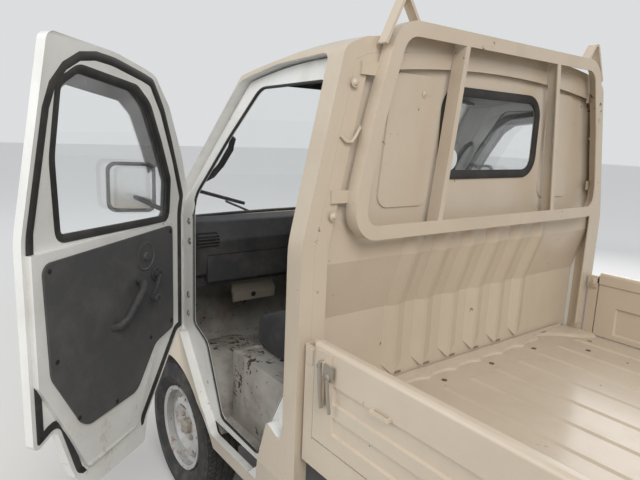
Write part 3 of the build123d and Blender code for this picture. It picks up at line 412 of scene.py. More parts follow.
@dataclass(frozen=True)
class TwoCoat:
    """A panel painted one colour outside and another inside.

    Attributes:
        name: The material's name.
        outside: The outer coat.
        inside: The inner coat.
        mask: Wires the share of the outer coat, from 0 to 1.
    """

    name: str
    outside: Paint
    inside: Paint
    mask: Callable[[NodeBench], Socket]

    def material(self) -> bpy.types.Material:
        """Build the whole material.

        Returns:
            The material.
        """
        bench = NodeBench(self.name)
        outer_colour, outer_rough, outer_height = self.outside.mix(bench)
        inner_colour, inner_rough, _ = self.inside.mix(bench)
        share = self.mask(bench)
        colour = bench.blend(share, inner_colour, outer_colour)
        rough = bench.plus(bench.times(outer_rough, share), bench.times(inner_rough, bench.minus(1.0, share)))
        bench.bump(outer_height, COAT_RELIEF, CHIP_DEPTH_M)
        bench.shader.inputs["Coat Weight"].default_value = self.outside.coat
        bench.shader.inputs["Coat Roughness"].default_value = 0.2
        return bench.finish(colour, rough)


@dataclass(frozen=True)
class Plain:
    """Rubber, moulded plastic or bare metal with grain, dust and scuffs.

    Attributes:
        name: The material's name.
        colour: The clean colour.
        dust: The colour of what lies on it.
        dusty: How much dust there is.
        grain: Grains per metre.
        relief: Height of the grain in metres.
        shade: How glossy it is.
        metallic: 1 for bare metal.
    """

    name: str
    colour: Colour
    dust: Colour = (0.23, 0.19, 0.15)
    dusty: float = 0.3
    grain: float = 900.0
    relief: float = 0.0002
    shade: Shade = Shade.DULL
    metallic: float = 0.0

    def material(self) -> bpy.types.Material:
        """Build the whole material.

        Returns:
            The material.
        """
        bench = NodeBench(self.name)
        patch = bench.ramp(bench.noise(9.0, 6.0, roughness=0.7), 0.42, 0.75)
        fine = bench.ramp(bench.noise(190.0, 3.0), 0.5, 0.75)
        share = bench.times(bench.plus(bench.times(patch, 0.7), bench.times(fine, 0.3)), self.dusty)
        colour = bench.blend(share, self.colour, self.dust)
        rough = bench.plus(bench.times(share, 0.35), self.shade.value)
        bench.bump(bench.noise(self.grain, 2.0), 0.4, self.relief)
        return bench.finish(colour, rough, self.metallic)


@dataclass(frozen=True)
class Pane:
    """Window glass with a film of dust.

    Attributes:
        name: The material's name.
        tint: Colour of the light that passes.
        clear: Share of the light that passes straight through.
        film: How much dust lies on it.
    """

    name: str
    tint: Colour = (0.82, 0.87, 0.86)
    clear: float = 0.90
    film: float = 0.05

    def material(self) -> bpy.types.Material:
        """Build the whole material.

        Returns:
            The material.
        """
        bench = NodeBench(self.name)
        dusty = bench.ramp(bench.noise(5.0, 6.0), 0.45, 0.8)
        bench.shader.inputs["Transmission Weight"].default_value = self.clear
        bench.shader.inputs["IOR"].default_value = 1.05
        alpha = bench.plus(bench.times(dusty, self.film), 1.0 - 0.92 * self.clear)
        bench.feed(bench.shader.inputs["Alpha"], alpha)
        return bench.finish(self.tint, bench.times_plus(dusty, 0.15, 0.03))


@dataclass(frozen=True)
class Vinyl:
    """Seat cloth and vinyl with a fine weave.

    Attributes:
        name: The material's name.
        colour: The cover's colour.
        worn: The colour where it is rubbed.
        threads: Turn of the weave's wave in radians per metre.
    """

    name: str
    colour: Colour = (0.030, 0.030, 0.033)
    worn: Colour = (0.075, 0.070, 0.064)
    threads: float = 2600.0

    def material(self) -> bpy.types.Material:
        """Build the whole material.

        Returns:
            The material.
        """
        bench = NodeBench(self.name)
        rubbed = bench.ramp(bench.noise(8.0, 6.0), 0.48, 0.78)
        warp, weft = (bench.sine(bench.times(bench.axis(letter), self.threads)) for letter in "XY")
        thread = bench.times(warp, weft)
        colour = bench.blend(bench.times(rubbed, 0.6), self.colour, self.worn)
        bench.shader.inputs["Sheen Weight"].default_value = 0.08
        bench.bump(bench.plus(thread, bench.noise(500.0)), 0.3, 0.0003)
        return bench.finish(colour, bench.times_plus(rubbed, -0.15, 0.8))


@dataclass(frozen=True)
class Tread:
    """Tyre rubber with moulded grooves round and across the tread, the grooves also painted near black as
    painted shade.

    Attributes:
        name: The material's name.
        axle_y: The axle's place along the truck, in metres.
        axle_z: The axle's height, in metres.
    """

    name: str
    axle_y: float
    axle_z: float

    def material(self) -> bpy.types.Material:
        """Build the whole material.

        Returns:
            The material.
        """
        bench = NodeBench(self.name)
        along = bench.minus(bench.axis("Y"), self.axle_y)
        above = bench.minus(bench.axis("Z"), self.axle_z)
        radius = bench.math("SQRT", bench.times_plus(along, along, bench.times(above, above)))
        turn = bench.math("ARCTAN2", above, along)
        across = bench.minus(bench.unsigned(bench.axis("X")), HALF_TRACK / MM_PER_M)
        wave = bench.times(bench.sine(bench.times(turn, 64.0)), 0.0022)
        rows = bench.sine(bench.times(bench.plus(across, wave), 240.0))
        sipes = bench.sine(bench.times_plus(turn, 96.0, bench.times(across, 90.0)))
        outer = bench.ramp(bench.unsigned(across), 0.030, 0.034)
        cut = bench.larger(bench.ramp(rows, 0.72, 0.86), bench.times(bench.ramp(sipes, 0.70, 0.85), outer))
        cut = bench.times(cut, bench.ramp(radius, 0.256, 0.259))
        ring = bench.ramp(bench.sine(bench.times(radius, 900.0)), 0.86, 0.96)
        ring = bench.times(ring, bench.ramp(radius, 0.250, 0.246))
        dusty = bench.times(bench.ramp(bench.noise(14.0, 6.0, roughness=0.7), 0.40, 0.72), 0.45)
        colour = bench.blend(dusty, (0.021, 0.021, 0.022), (0.15, 0.12, 0.09))
        # Painted shade: the grooves are drawn near black as well as cut by the bump.
        colour = bench.blend(bench.times(cut, 0.8), colour, (0.004, 0.004, 0.004))
        grain = bench.times(bench.noise(700.0, 2.0), 0.06)
        height = bench.minus(bench.times_plus(ring, 0.2, grain), cut)
        bench.bump(height, 0.9, 0.004)
        return bench.finish(colour, 0.84)


@dataclass
class Finishes:
    """All the truck's finishes, each built once when it is first asked for."""

    sand: Paint = Paint("sand_paint", SAND, SAND_DEEP, stain=0.28, chips=0.04, rust=0.05, coat=0.6)
    sand_worn: Paint = Paint("sand_paint_worn", SAND, SAND_DEEP, stain=0.34, chips=0.06, rust=0.15, coat=0.55)
    white: Paint = Paint("old_white_paint", OLD_WHITE, (0.44, 0.40, 0.34), (0.16, 0.09, 0.05), stain=0.35,
                         chips=0.03, rust=0.30, coat=0.35)
    floor_white: Paint = Paint("cab_floor_paint", (0.46, 0.44, 0.40), (0.16, 0.135, 0.11),
                               (0.075, 0.05, 0.035), stain=0.95, chips=0.55, rust=0.45,
                               shade=Shade.DULL, coat=0.0)
    black: Paint = Paint("chassis_paint", CHASSIS_BLACK, (0.07, 0.055, 0.04), RUST, stain=0.6,
                         chips=0.4, rust=0.7, shade=Shade.DULL, coat=0.0)
    wheel: Paint = Paint("wheel_paint", (0.40, 0.40, 0.39), (0.16, 0.13, 0.10), RUST, stain=0.6, chips=0.45,
                         rust=0.6, coat=0.1)
    rubber: Plain = Plain("black_rubber", (0.018, 0.018, 0.018), dusty=0.22, grain=500.0)
    plastic: Plain = Plain("dark_plastic", (0.030, 0.031, 0.034), dusty=0.30, relief=0.00035)
    trim: Plain = Plain("grey_trim_card", (0.062, 0.062, 0.064), (0.20, 0.18, 0.16), 0.34, 650.0, 0.0004)
    steel: Plain = Plain("bare_steel", (0.42, 0.40, 0.37), (0.20, 0.13, 0.08), 0.45, 300.0, 0.0001,
                         Shade.SATIN, 1.0)
    iron: Plain = Plain("oily_iron", (0.10, 0.095, 0.09), (0.03, 0.022, 0.015), 0.7, 200.0, 0.0006,
                        Shade.DULL, 0.4)
    pipe: Plain = Plain("rusty_pipe", (0.16, 0.10, 0.07), (0.24, 0.10, 0.04), 0.8, 160.0, 0.0005,
                        Shade.MATT, 0.3)
    mirror: Plain = Plain("mirror_glass", (0.85, 0.86, 0.86), dusty=0.06, relief=0.0,
                          shade=Shade.GLOSS, metallic=1.0)
    glass: Pane = Pane("clear_glass")
    smoked: Pane = Pane("smoked_visor", (0.10, 0.09, 0.085), 0.42, 0.15)
    lens: Pane = Pane("clear_lens", (0.80, 0.83, 0.84), 0.72, 0.05)
    red: Plain = Plain("red_lens", (0.30, 0.012, 0.010), dusty=0.15, relief=0.0, shade=Shade.GLOSS)
    amber: Plain = Plain("amber_lens", (0.55, 0.16, 0.015), dusty=0.15, relief=0.0, shade=Shade.GLOSS)
    cover: Vinyl = Vinyl("seat_cover")
    # Brown marks for the wall's drain slots: painted shade of the slots, with stain.
    stain: Plain = Plain("slot_shade_and_stain", (0.26, 0.20, 0.13), (0.15, 0.11, 0.07), 0.5)
    shadow: Plain = Plain("dark_hollow", (0.006, 0.006, 0.006), dusty=0.15)
    label: Plain = Plain("pale_plastic", (0.62, 0.66, 0.66), dusty=0.12, shade=Shade.SATIN)
    plate: Plain = Plain("blank_plate", (0.72, 0.70, 0.55), dusty=0.25, shade=Shade.SATIN)
    old_steel: Paint = Paint("plated_steel", (0.26, 0.235, 0.195), (0.17, 0.13, 0.09), RUST,
                             stain=0.5, chips=0.3, rust=0.3, coat=0.3)
    # Dark floor bolts: dirt on them, and painted shade of the recesses round them.
    bolt_dirt_and_shade: Paint = Paint("bolt_dirt_and_shade", (0.10, 0.08, 0.06), (0.04, 0.03, 0.02), stain=0.8,
                              rust=0.0, coat=0.3)
    built: dict[str, bpy.types.Material] = field(default_factory=dict)

    def of(self, finish: object) -> bpy.types.Material:
        """The Blender material of a finish.

        Args:
            finish: One of the finishes.

        Returns:
            Its material, built at the first call.
        """
        if finish.name not in self.built:
            self.built[finish.name] = finish.material()
        return self.built[finish.name]


FINISHES = Finishes()


def dress(node: str, finish: object) -> None:
    """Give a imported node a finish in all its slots.

    Args:
        node: Name of the node.
        finish: One of the finishes.
    """
    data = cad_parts[node].data
    material = FINISHES.of(finish)
    if not data.materials:
        data.materials.append(material)
    for index in range(len(data.materials)):
        data.materials[index] = material
    log.info("dressed %s with %s", node, material.name)


SMOOTH_BELOW = math.radians(40)
BEVEL_OVER = math.radians(35)


class Forge:
    """Collects simple solids in one mesh, in millimetres of the truck's own measure."""

    def __init__(self, turn: Matrix | None = None) -> None:
        """Start an empty mesh.

        Args:
            turn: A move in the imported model's metres for everything made here.
        """
        self.mesh = bmesh.new()
        self.turn = turn or Matrix.Identity(4)

    def point(self, spot: Sequence[float]) -> bmesh.types.BMVert:
        """Add one vertex."""
        return self.mesh.verts.new(self.turn @ place(*spot))

    def skin(self, rings: Sequence[Sequence[Point]], closed: bool = False) -> None:
        """Join rings of points by quads.

        Args:
            rings: Rings of equally many points.
            closed: Whether the last ring joins the first; otherwise each end gets a face.
        """
        made = [[self.point(spot) for spot in ring] for ring in rings]
        pairs = list(zip(made, made[1:])) + ([(made[-1], made[0])] if closed else [])
        for first, second in pairs:
            for index in range(len(first)):
                after = (index + 1) % len(first)
                self.mesh.faces.new((first[index], first[after], second[after], second[index]))
        if not closed:
            self.mesh.faces.new(tuple(reversed(made[0])))
            self.mesh.faces.new(tuple(made[-1]))

    def tube(self, path: Sequence[Point], radius: float, sides: int = 10, closed: bool = False,
             flat: float = 1.0) -> None:
        """Run a round or flattened section along a path.

        Args:
            path: Points of the centre line.
            radius: Radius across the path.
            sides: Corners of the section.
            closed: Whether the path is a loop.
            flat: Factor on the section's second axis.
        """
        spots = [Vector(spot) for spot in path]
        count = len(spots)
        rings = []
        up = Vector((0.0, 0.0, 1.0))
        for index, spot in enumerate(spots):
            before = spots[index - 1] if closed or index else spots[0]
            after = spots[(index + 1) % count] if closed or index < count - 1 else spots[-1]
            along = (after - before).normalized()
            across = along.cross(up)
            if across.length < 0.1:
                across = along.cross(Vector((0.0, 1.0, 0.0)))
            across.normalize()
            above = across.cross(along)
            turns = [math.tau * k / sides for k in range(sides)]
            rings.append([tuple(spot + across * radius * math.cos(turn)
                                + above * radius * flat * math.sin(turn)) for turn in turns])
        self.skin(rings, closed)

    def block(self, low: Point, high: Point) -> None:
        """Add a box between two corners."""
        (a, b, bottom), (c, d, top) = low, high
        self.skin([[(a, b, z), (c, b, z), (c, d, z), (a, d, z)] for z in (bottom, top)])

    def disc(self, centre: Point, axis: Sequence[float], profile: Sequence[tuple[float, float]],
             sides: int = 20) -> None:
        """Turn a profile about an axis.

        Args:
            centre: Point on the axis.
            axis: Direction of the axis.
            profile: Pairs of height along the axis and radius.
            sides: Facets round the axis.
        """
        line = Vector(axis).normalized()
        across = line.orthogonal().normalized()
        above = line.cross(across)
        middle = Vector(centre)
        self.skin([[tuple(middle + line * height + (across * math.cos(math.tau * k / sides)
                                                    + above * math.sin(math.tau * k / sides)) * radius)
                    for k in range(sides)] for height, radius in profile])

    def bolt(self, centre: Point, axis: Sequence[float], radius: float = 8.0, height: float = 5.0) -> None:
        """A round-headed bolt on its washer."""
        washer = radius * 1.35
        self.disc(centre, axis, ((-1.0, washer), (1.2, washer), (1.2, radius), (height * 0.6, radius * 0.9),
                                 (height, radius * 0.45)), 12)

    def part(self, name: str, body: str, finish: object, bevel: float = 0.0) -> bpy.types.Object:
        """Turn the collected mesh into a piece that rides on a body, smooth below SMOOTH_BELOW.

        Args:
            name: The piece's name.
            body: Body that it rides on.
            finish: One of the finishes.
            bevel: Width of rounded edges in millimetres.

        Returns:
            The new object.
        """
        bmesh.ops.recalc_face_normals(self.mesh, faces=self.mesh.faces)
        data = bpy.data.meshes.new(name)
        self.mesh.to_mesh(data)
        self.mesh.free()
        piece = bpy.data.objects.new(name, data)
        bpy.context.scene.collection.objects.link(piece)
        data.materials.append(FINISHES.of(finish))
        if bevel:
            edge = piece.modifiers.new("round", "BEVEL")
            edge.width = bevel / MM_PER_M
            edge.segments = 2
            edge.limit_method = "ANGLE"
            edge.angle_limit = BEVEL_OVER
        for face in data.polygons:
            face.use_smooth = True
        data.set_sharp_from_angle(angle=SMOOTH_BELOW)
        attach(piece, body)
        log.info("made %s on %s", name, body)
        return piece


def rounded_loop(half_width: float, half_height: float, radius: float, steps: int = 6) -> Outline:
    """Points round a rectangle with round corners.

    Args:
        half_width: Half its width.
        half_height: Half its height.
        radius: Radius of its corners.
        steps: Points on each corner.

    Returns:
        Pairs across and up, anticlockwise.
    """
    loop = []
    for index, (sx, sy) in enumerate(((1, 1), (-1, 1), (-1, -1), (1, -1))):
        for step in range(steps + 1):
            angle = math.pi / 2 * (index + step / steps)
            loop.append((sx * (half_width - radius) + radius * math.cos(angle),
                         sy * (half_height - radius) + radius * math.sin(angle)))
    return loop


def soften(corners: Outline, radius: float, steps: int = 4) -> Outline:
    """Round the corners of a closed outline by short curves.

    Args:
        corners: The outline's corners.
        radius: How far from each corner its curve starts.
        steps: Points on each curve.

    Returns:
        The rounded outline.
    """
    outline = []
    for index, corner in enumerate(corners):
        here = Vector(corner)
        before = Vector(corners[index - 1]) - here
        after = Vector(corners[(index + 1) % len(corners)]) - here
        reach = min(radius, before.length * 0.45, after.length * 0.45)
        start = here + before.normalized() * reach
        end = here + after.normalized() * reach
        for step in range(steps + 1):
            t = step / steps
            outline.append(tuple(start * (1 - t) ** 2 + here * 2 * t * (1 - t) + end * t ** 2))
    return outline


# Outlines on the left side of the cab, y and z with the door shut: corner, then the radius of the corner
LATCH_CORNER = (-400, 1622, 18)
DOORWAY: Corners = (
    (-1115, 705, 18), (-1115, 1200, 60), (-1020, 1338, 300), (-900, 1490, 200), (-816, 1570, 60),
    (-765, 1582, 60), (-630, 1607, 400), LATCH_CORNER, (-400, 602, 18), (-478, 633, 18), (-536, 455, 18),
    (-600, 398, 18),
    (-845, 398, 18), (-880, 470, 18), (-1075, 700, 18),
)
# The door's seal cuts the doorway's upper rear corner in a wide arc
SEAL_LINE: Corners = tuple((*LATCH_CORNER[:2], 150) if corner == LATCH_CORNER else corner
                           for corner in DOORWAY)
APERTURE: Corners = (
    (-1030, 1205, 60), (-880, 1400, 400), (-745, 1552, 60), (-405, 1560, 40), (-405, 779, 18),
    (-511, 583, 40), (-570, 462, 30), (-810, 470, 40), (-925, 700, 60), (-1030, 740, 30),
)
WINDOW_LINE: Corners = (
    (-1024, 1127, 22), (-990, 1255, 60), (-895, 1380, 300), (-807, 1485, 120), (-737, 1526, 60),
    (-510, 1553, 40), (-455, 1515, 30), (-465, 1346, 200), (-523, 1139, 25),
)


def filleted(corners: Corners, steps: int = 4) -> Outline:
    """An outline with each corner turned into an arc of its radius.

    Args:
        corners: Corners with their radii.
        steps: Points on each arc, less one.

    Returns:
        Points round the outline.
    """
    outline = []
    for index, (y, z, radius) in enumerate(corners):
        here = Vector((y, z))
        before = (Vector(corners[index - 1][:2]) - here).normalized()
        after = (Vector(corners[(index + 1) % len(corners)][:2]) - here).normalized()
        half = math.acos(max(-1.0, min(1.0, before.dot(after)))) / 2
        centre = here + (before + after).normalized() * radius / math.sin(half)
        start = here + before * radius / math.tan(half) - centre
        end = here + after * radius / math.tan(half) - centre
        sweep = math.pi - 2 * half
        for step in range(steps + 1):
            t = step / steps
            spot = (start * math.sin((1 - t) * sweep) + end * math.sin(t * sweep)) / math.sin(sweep)
            outline.append(tuple(centre + spot))
    return outline


def divided(loop: Outline, reach: float = 60.0) -> Outline:
    """An outline with points added on its long runs, so that it can follow a curved face.

    Args:
        loop: The outline's points.
        reach: The longest run that is left whole.

    Returns:
        The outline with its added points.
    """
    dense = []
    for first, second in zip(loop, list(loop[1:]) + [loop[0]]):
        count = max(1, math.ceil((Vector(second) - Vector(first)).length / reach))
        dense += [tuple(Vector(first).lerp(Vector(second), step / count)) for step in range(count)]
    return dense


def flank(z: float, inset: float = 0.0) -> float:
    """How far out the cab's side stands at a height.

    Args:
        z: Height above the ground.
        inset: Distance in from the outer face.

    Returns:
        Millimetres from the middle plane.
    """
    return HALF_WIDTH - inset - max(0.0, z - BELT_Z) * LEAN


def screen_y(x: float, z: float, inset: float = 0.0) -> float:
    """Where the windscreen's curved face stands at a distance from the middle and a height."""
    bow = SCREEN_BOW * (x / (flank(z) + 2.0)) ** 2
    return SCREEN_FOOT_Y + SCREEN_SLANT * (z - SCREEN_FOOT_Z) + SCREEN_PUSH * inset + bow


def bumper_y(x: float) -> float:
    """Where the bumper's face stands at a distance from the middle.

    Args:
        x: Millimetres from the middle plane, to either side.

    Returns:
        The face's Y in the truck's own measure, on its bow or round its corner.
    """
    across, corner_x, corner_y = abs(x), HALF_WIDTH - BUMPER_CORNER, -1507.9
    if across < 566.0:
        return BUMPER_FACE_Y + BUMPER_BOW * (across / HALF_WIDTH) ** 2
    return corner_y - math.sqrt(max(0.0, BUMPER_CORNER ** 2 - (across - corner_x) ** 2))


def grown(loop: Outline, distance: float) -> Outline:
    """An outline moved outward by a distance, corner by corner.

    Args:
        loop: The outline's points.
        distance: How far it grows; below zero it shrinks.

    Returns:
        As many points as the outline has.
    """
    area = sum(a[0] * b[1] - b[0] * a[1] for a, b in zip(loop, list(loop[1:]) + [loop[0]]))
    sign = 1.0 if area > 0 else -1.0
    moved = []
    for index, here in enumerate(loop):
        before = (Vector(here) - Vector(loop[index - 1])).normalized()
        after = (Vector(loop[(index + 1) % len(loop)]) - Vector(here)).normalized()
        along = before + after
        along = along.normalized() if along.length > 0.01 else after
        out = Vector((along.y, -along.x)) * sign
        stretch = min(1.5, 1.0 / max(0.5, abs(along.dot(after))))
        moved.append((here[0] + out.x * distance * stretch, here[1] + out.y * distance * stretch))
    return moved


CAB_MIDDLE = (0, -880, 1050)
BACK_FACE_Y = -402
# Where the inner coat ends round the doorway's step
STEP_FRONT_Y, STEP_REAR_Y, STEP_FOOT_Y = -1124, -391, -472
STEP_LOW_Z, STEP_FOOT_Z, STEP_FLARE_Z, STEP_HIGH_Z = 392, 602, 633, 1632
# A point on the front edge's slanted run, and the slopes of that run and of the foot's rear edge
SLANT_Y, SLANT_Z, SLANT_RISE, FOOT_FLARE = -1122, 1224, 1.2255, 0.33
STEP_DEPTH_M = (0.006, 0.009)


def outside_share(bench: NodeBench) -> Socket:
    """Share of the outer coat on a cab panel: faces that look away from the cab's middle.

    Args:
        bench: The material's node bench.

    Returns:
        Socket of the share.
    """
    node = bench.tree.nodes.new("ShaderNodeVectorMath")
    node.operation = "SUBTRACT"
    bench.feed(node.inputs[0], bench.coordinate.outputs["Object"])
    node.inputs[1].default_value = tuple(place(*CAB_MIDDLE))
    product = bench.tree.nodes.new("ShaderNodeVectorMath")
    product.operation = "DOT_PRODUCT"
    bench.feed(product.inputs[0], node.outputs[0])
    bench.feed(product.inputs[1], bench.coordinate.outputs["Normal"])
    return bench.ramp(product.outputs["Value"], 0.0, 0.02)


def behind_share(bench: NodeBench) -> Socket:
    """Share of what shows from the bed: behind the back wall's face, and not looking forward.

    Args:
        bench: The material's node bench.

    Returns:
        Socket of the share.
    """
    behind = bench.over(bench.axis("Y"), along_m(BACK_FACE_Y))
    rearward = bench.dot(bench.coordinate.outputs["Normal"], (0.0, 1.0, 0.0))
    return bench.times(behind, bench.over(rearward, -0.5))


def back_share(bench: NodeBench) -> Socket:
    """Share of the outer coat on the back wall: its rear faces and all that shows from the bed."""
    return bench.larger(facing_share((0.0, 1.0, 0.0))(bench), behind_share(bench))


def side_share(bench: NodeBench) -> Socket:
    """Share of the outer coat on a side frame: outside, and not in the doorway's step.

    Args:
        bench: The material's node bench.

    Returns:
        Socket of the share.
    """
    outer = outside_share(bench)
    width = bench.unsigned(bench.axis("X"))
    height = bench.axis("Z")
    rise = bench.larger(bench.minus(height, height_m(BELT_Z)), 0.0)
    depth = bench.minus(HALF_WIDTH / MM_PER_M, bench.times_plus(rise, LEAN, width))
    step = bench.ramp(depth, *STEP_DEPTH_M)
    along = bench.axis("Y")
    front = bench.times_plus(bench.minus(along, along_m(SLANT_Y)), SLANT_RISE, height_m(SLANT_Z))
    low = bench.larger(bench.minus(height_m(STEP_FLARE_Z), height), 0.0)
    rear = bench.times_plus(low, FOOT_FLARE, along)
    raised = bench.over(height, height_m(STEP_FOOT_Z))
    for limit in (bench.over(along, along_m(STEP_FRONT_Y)),
                  bench.larger(raised, bench.under(rear, along_m(STEP_FOOT_Y))),
                  bench.under(along, along_m(STEP_REAR_Y)),
                  bench.under(height, front),
                  bench.over(height, height_m(STEP_LOW_Z)),
                  bench.under(height, height_m(STEP_HIGH_Z))):
        step = bench.times(step, limit)
    painted = bench.times(outer, bench.minus(1.0, step))
    behind = bench.times(behind_share(bench), bench.over(along, along_m(STEP_REAR_Y + 1)))
    return bench.larger(painted, behind)


def facing_share(direction: Sequence[float]) -> Callable[[NodeBench], Socket]:
    """A mask of the faces that look along a direction.

    Args:
        direction: The direction, of length 1.

    Returns:
        A function that wires the mask.
    """
    def wire(bench: NodeBench) -> Socket:
        """Wire the mask on a bench."""
        return bench.ramp(bench.dot(bench.coordinate.outputs["Normal"], direction), 0.25, 0.4)
    return wire


@dataclass
class Studio:
    """Floor, lamps and camera.

    Attributes:
        eye: The camera's place in the truck's own measure.
        yaw: Turn of the view from the truck's nose towards its right side, in degrees.
        pitch: How far the view looks down, in degrees.
        roll: How far the frame leans, in degrees.
        focal: Focal length in pixels of the photograph's frame.
        frame_width: The frame's width in pixels.
        sensor: The camera's sensor width in millimetres.
    """

    eye: Point = (1507.5, 743.4, 1430.7)
    yaw: float = 37.5
    pitch: float = 11.0
    roll: float = 2.4
    focal: float = 552.8
    frame_width: float = 640.0
    sensor: float = 36.0

    def floor(self) -> None:
        """Lay a pale floor under the wheels."""
        data = bpy.data.meshes.new("studio_floor")
        reach = 40.0
        level = height_m(-0.5)
        data.from_pydata([(-reach, -reach, level), (reach, -reach, level), (reach, reach, level),
                          (-reach, reach, level)], [], [(0, 1, 2, 3)])
        floor = bpy.data.objects.new("studio_floor", data)
        bpy.context.scene.collection.objects.link(floor)
        bench = NodeBench("pale_floor")
        paths = bench.tree.nodes.new("ShaderNodeLightPath")
        seen = bench.larger(paths.outputs["Is Camera Ray"], paths.outputs["Is Glossy Ray"])
        bench.feed(bench.shader.inputs["Specular IOR Level"], 0.1)
        x, y = bench.axis("X"), bench.axis("Y")
        distance = bench.math("SQRT", bench.times_plus(x, x, bench.times(y, y)))
        pale = bench.blend(bench.ramp(distance, 2.5, 9.0), (0.64, 0.63, 0.61), (0.97, 0.97, 0.97))
        data.materials.append(bench.finish(bench.blend(seen, (0.42, 0.41, 0.39), pale), 0.8))

    def lamp(self, name: str, spot: Point, aim: Point, size: float, power: float,
             colour: Colour) -> None:
        """Hang a square area lamp that looks at a point.

        Args:
            name: The lamp's name.
            spot: Where it hangs, in the truck's own measure.
            aim: The point that it looks at.
            size: Its side in metres.
            power: Its power in watts.
            colour: Colour of its light.
        """
        data = bpy.data.lights.new(name, "AREA")
        data.shape = "SQUARE"
        data.size = size
        data.energy = power
        data.color = colour
        lamp = bpy.data.objects.new(name, data)
        lamp.location = place(*spot)
        lamp.rotation_euler = (place(*aim) - place(*spot)).to_track_quat("-Z", "Y").to_euler()
        bpy.context.scene.collection.objects.link(lamp)

    def light(self) -> None:
        """Hang the lamps and set an even sky."""
        self.lamp("key_lamp", (2600, 4200, 4600), (-100, 0, 900), 3.0, 230.0, (1.0, 0.98, 0.95))
        self.lamp("fill_lamp", (5200, -1800, 3000), (0, -600, 900), 4.0, 120.0, (0.95, 0.97, 1.0))
        self.lamp("far_lamp", (-4200, -2400, 3600), (0, -300, 900), 4.0, 120.0, (1.0, 1.0, 1.0))
        world = bpy.data.worlds.new("even_sky")
        world.use_nodes = True
        tree = world.node_tree
        sky = tree.nodes["Background"]
        paths = tree.nodes.new("ShaderNodeLightPath")
        share = tree.nodes.new("ShaderNodeMath")
        share.operation = "MAXIMUM"
        tree.links.new(paths.outputs["Is Camera Ray"], share.inputs[0])
        tree.links.new(paths.outputs["Is Transmission Ray"], share.inputs[1])
        strength = tree.nodes.new("ShaderNodeMapRange")
        strength.inputs["To Min"].default_value = 0.60
        strength.inputs["To Max"].default_value = 0.74
        tree.links.new(share.outputs[0], strength.inputs["Value"])
        tree.links.new(strength.outputs["Result"], sky.inputs["Strength"])
        sky.inputs["Color"].default_value = (0.96, 0.98, 1.0, 1.0)
        bpy.context.scene.world = world

    def camera(self) -> None:
        """Set the camera where the photograph was taken from."""
        yaw, pitch, roll = (math.radians(angle) for angle in (self.yaw, self.pitch, self.roll))
        ahead = Vector((-math.sin(yaw) * math.cos(pitch), -math.cos(yaw) * math.cos(pitch), -math.sin(pitch)))
        right = Vector((-math.cos(yaw), math.sin(yaw), 0.0))
        above = right.cross(ahead)
        tilted_right = right * math.cos(roll) + above * math.sin(roll)
        tilted_up = -right * math.sin(roll) + above * math.cos(roll)
        turn = Matrix((tilted_right, tilted_up, -ahead)).transposed().to_4x4()
        data = bpy.data.cameras.new("photo_camera")
        data.sensor_width = self.sensor
        data.lens = self.focal * self.sensor / self.frame_width
        data.clip_start = 0.05
        camera = bpy.data.objects.new("photo_camera", data)
        camera.matrix_world = Matrix.Translation(place(*self.eye)) @ turn
        bpy.context.scene.collection.objects.link(camera)
        bpy.context.scene.camera = camera

    def build(self) -> None:
        """Set up the whole studio."""
        self.floor()
        self.light()
        self.camera()
        bpy.context.scene.view_settings.view_transform = "Standard"


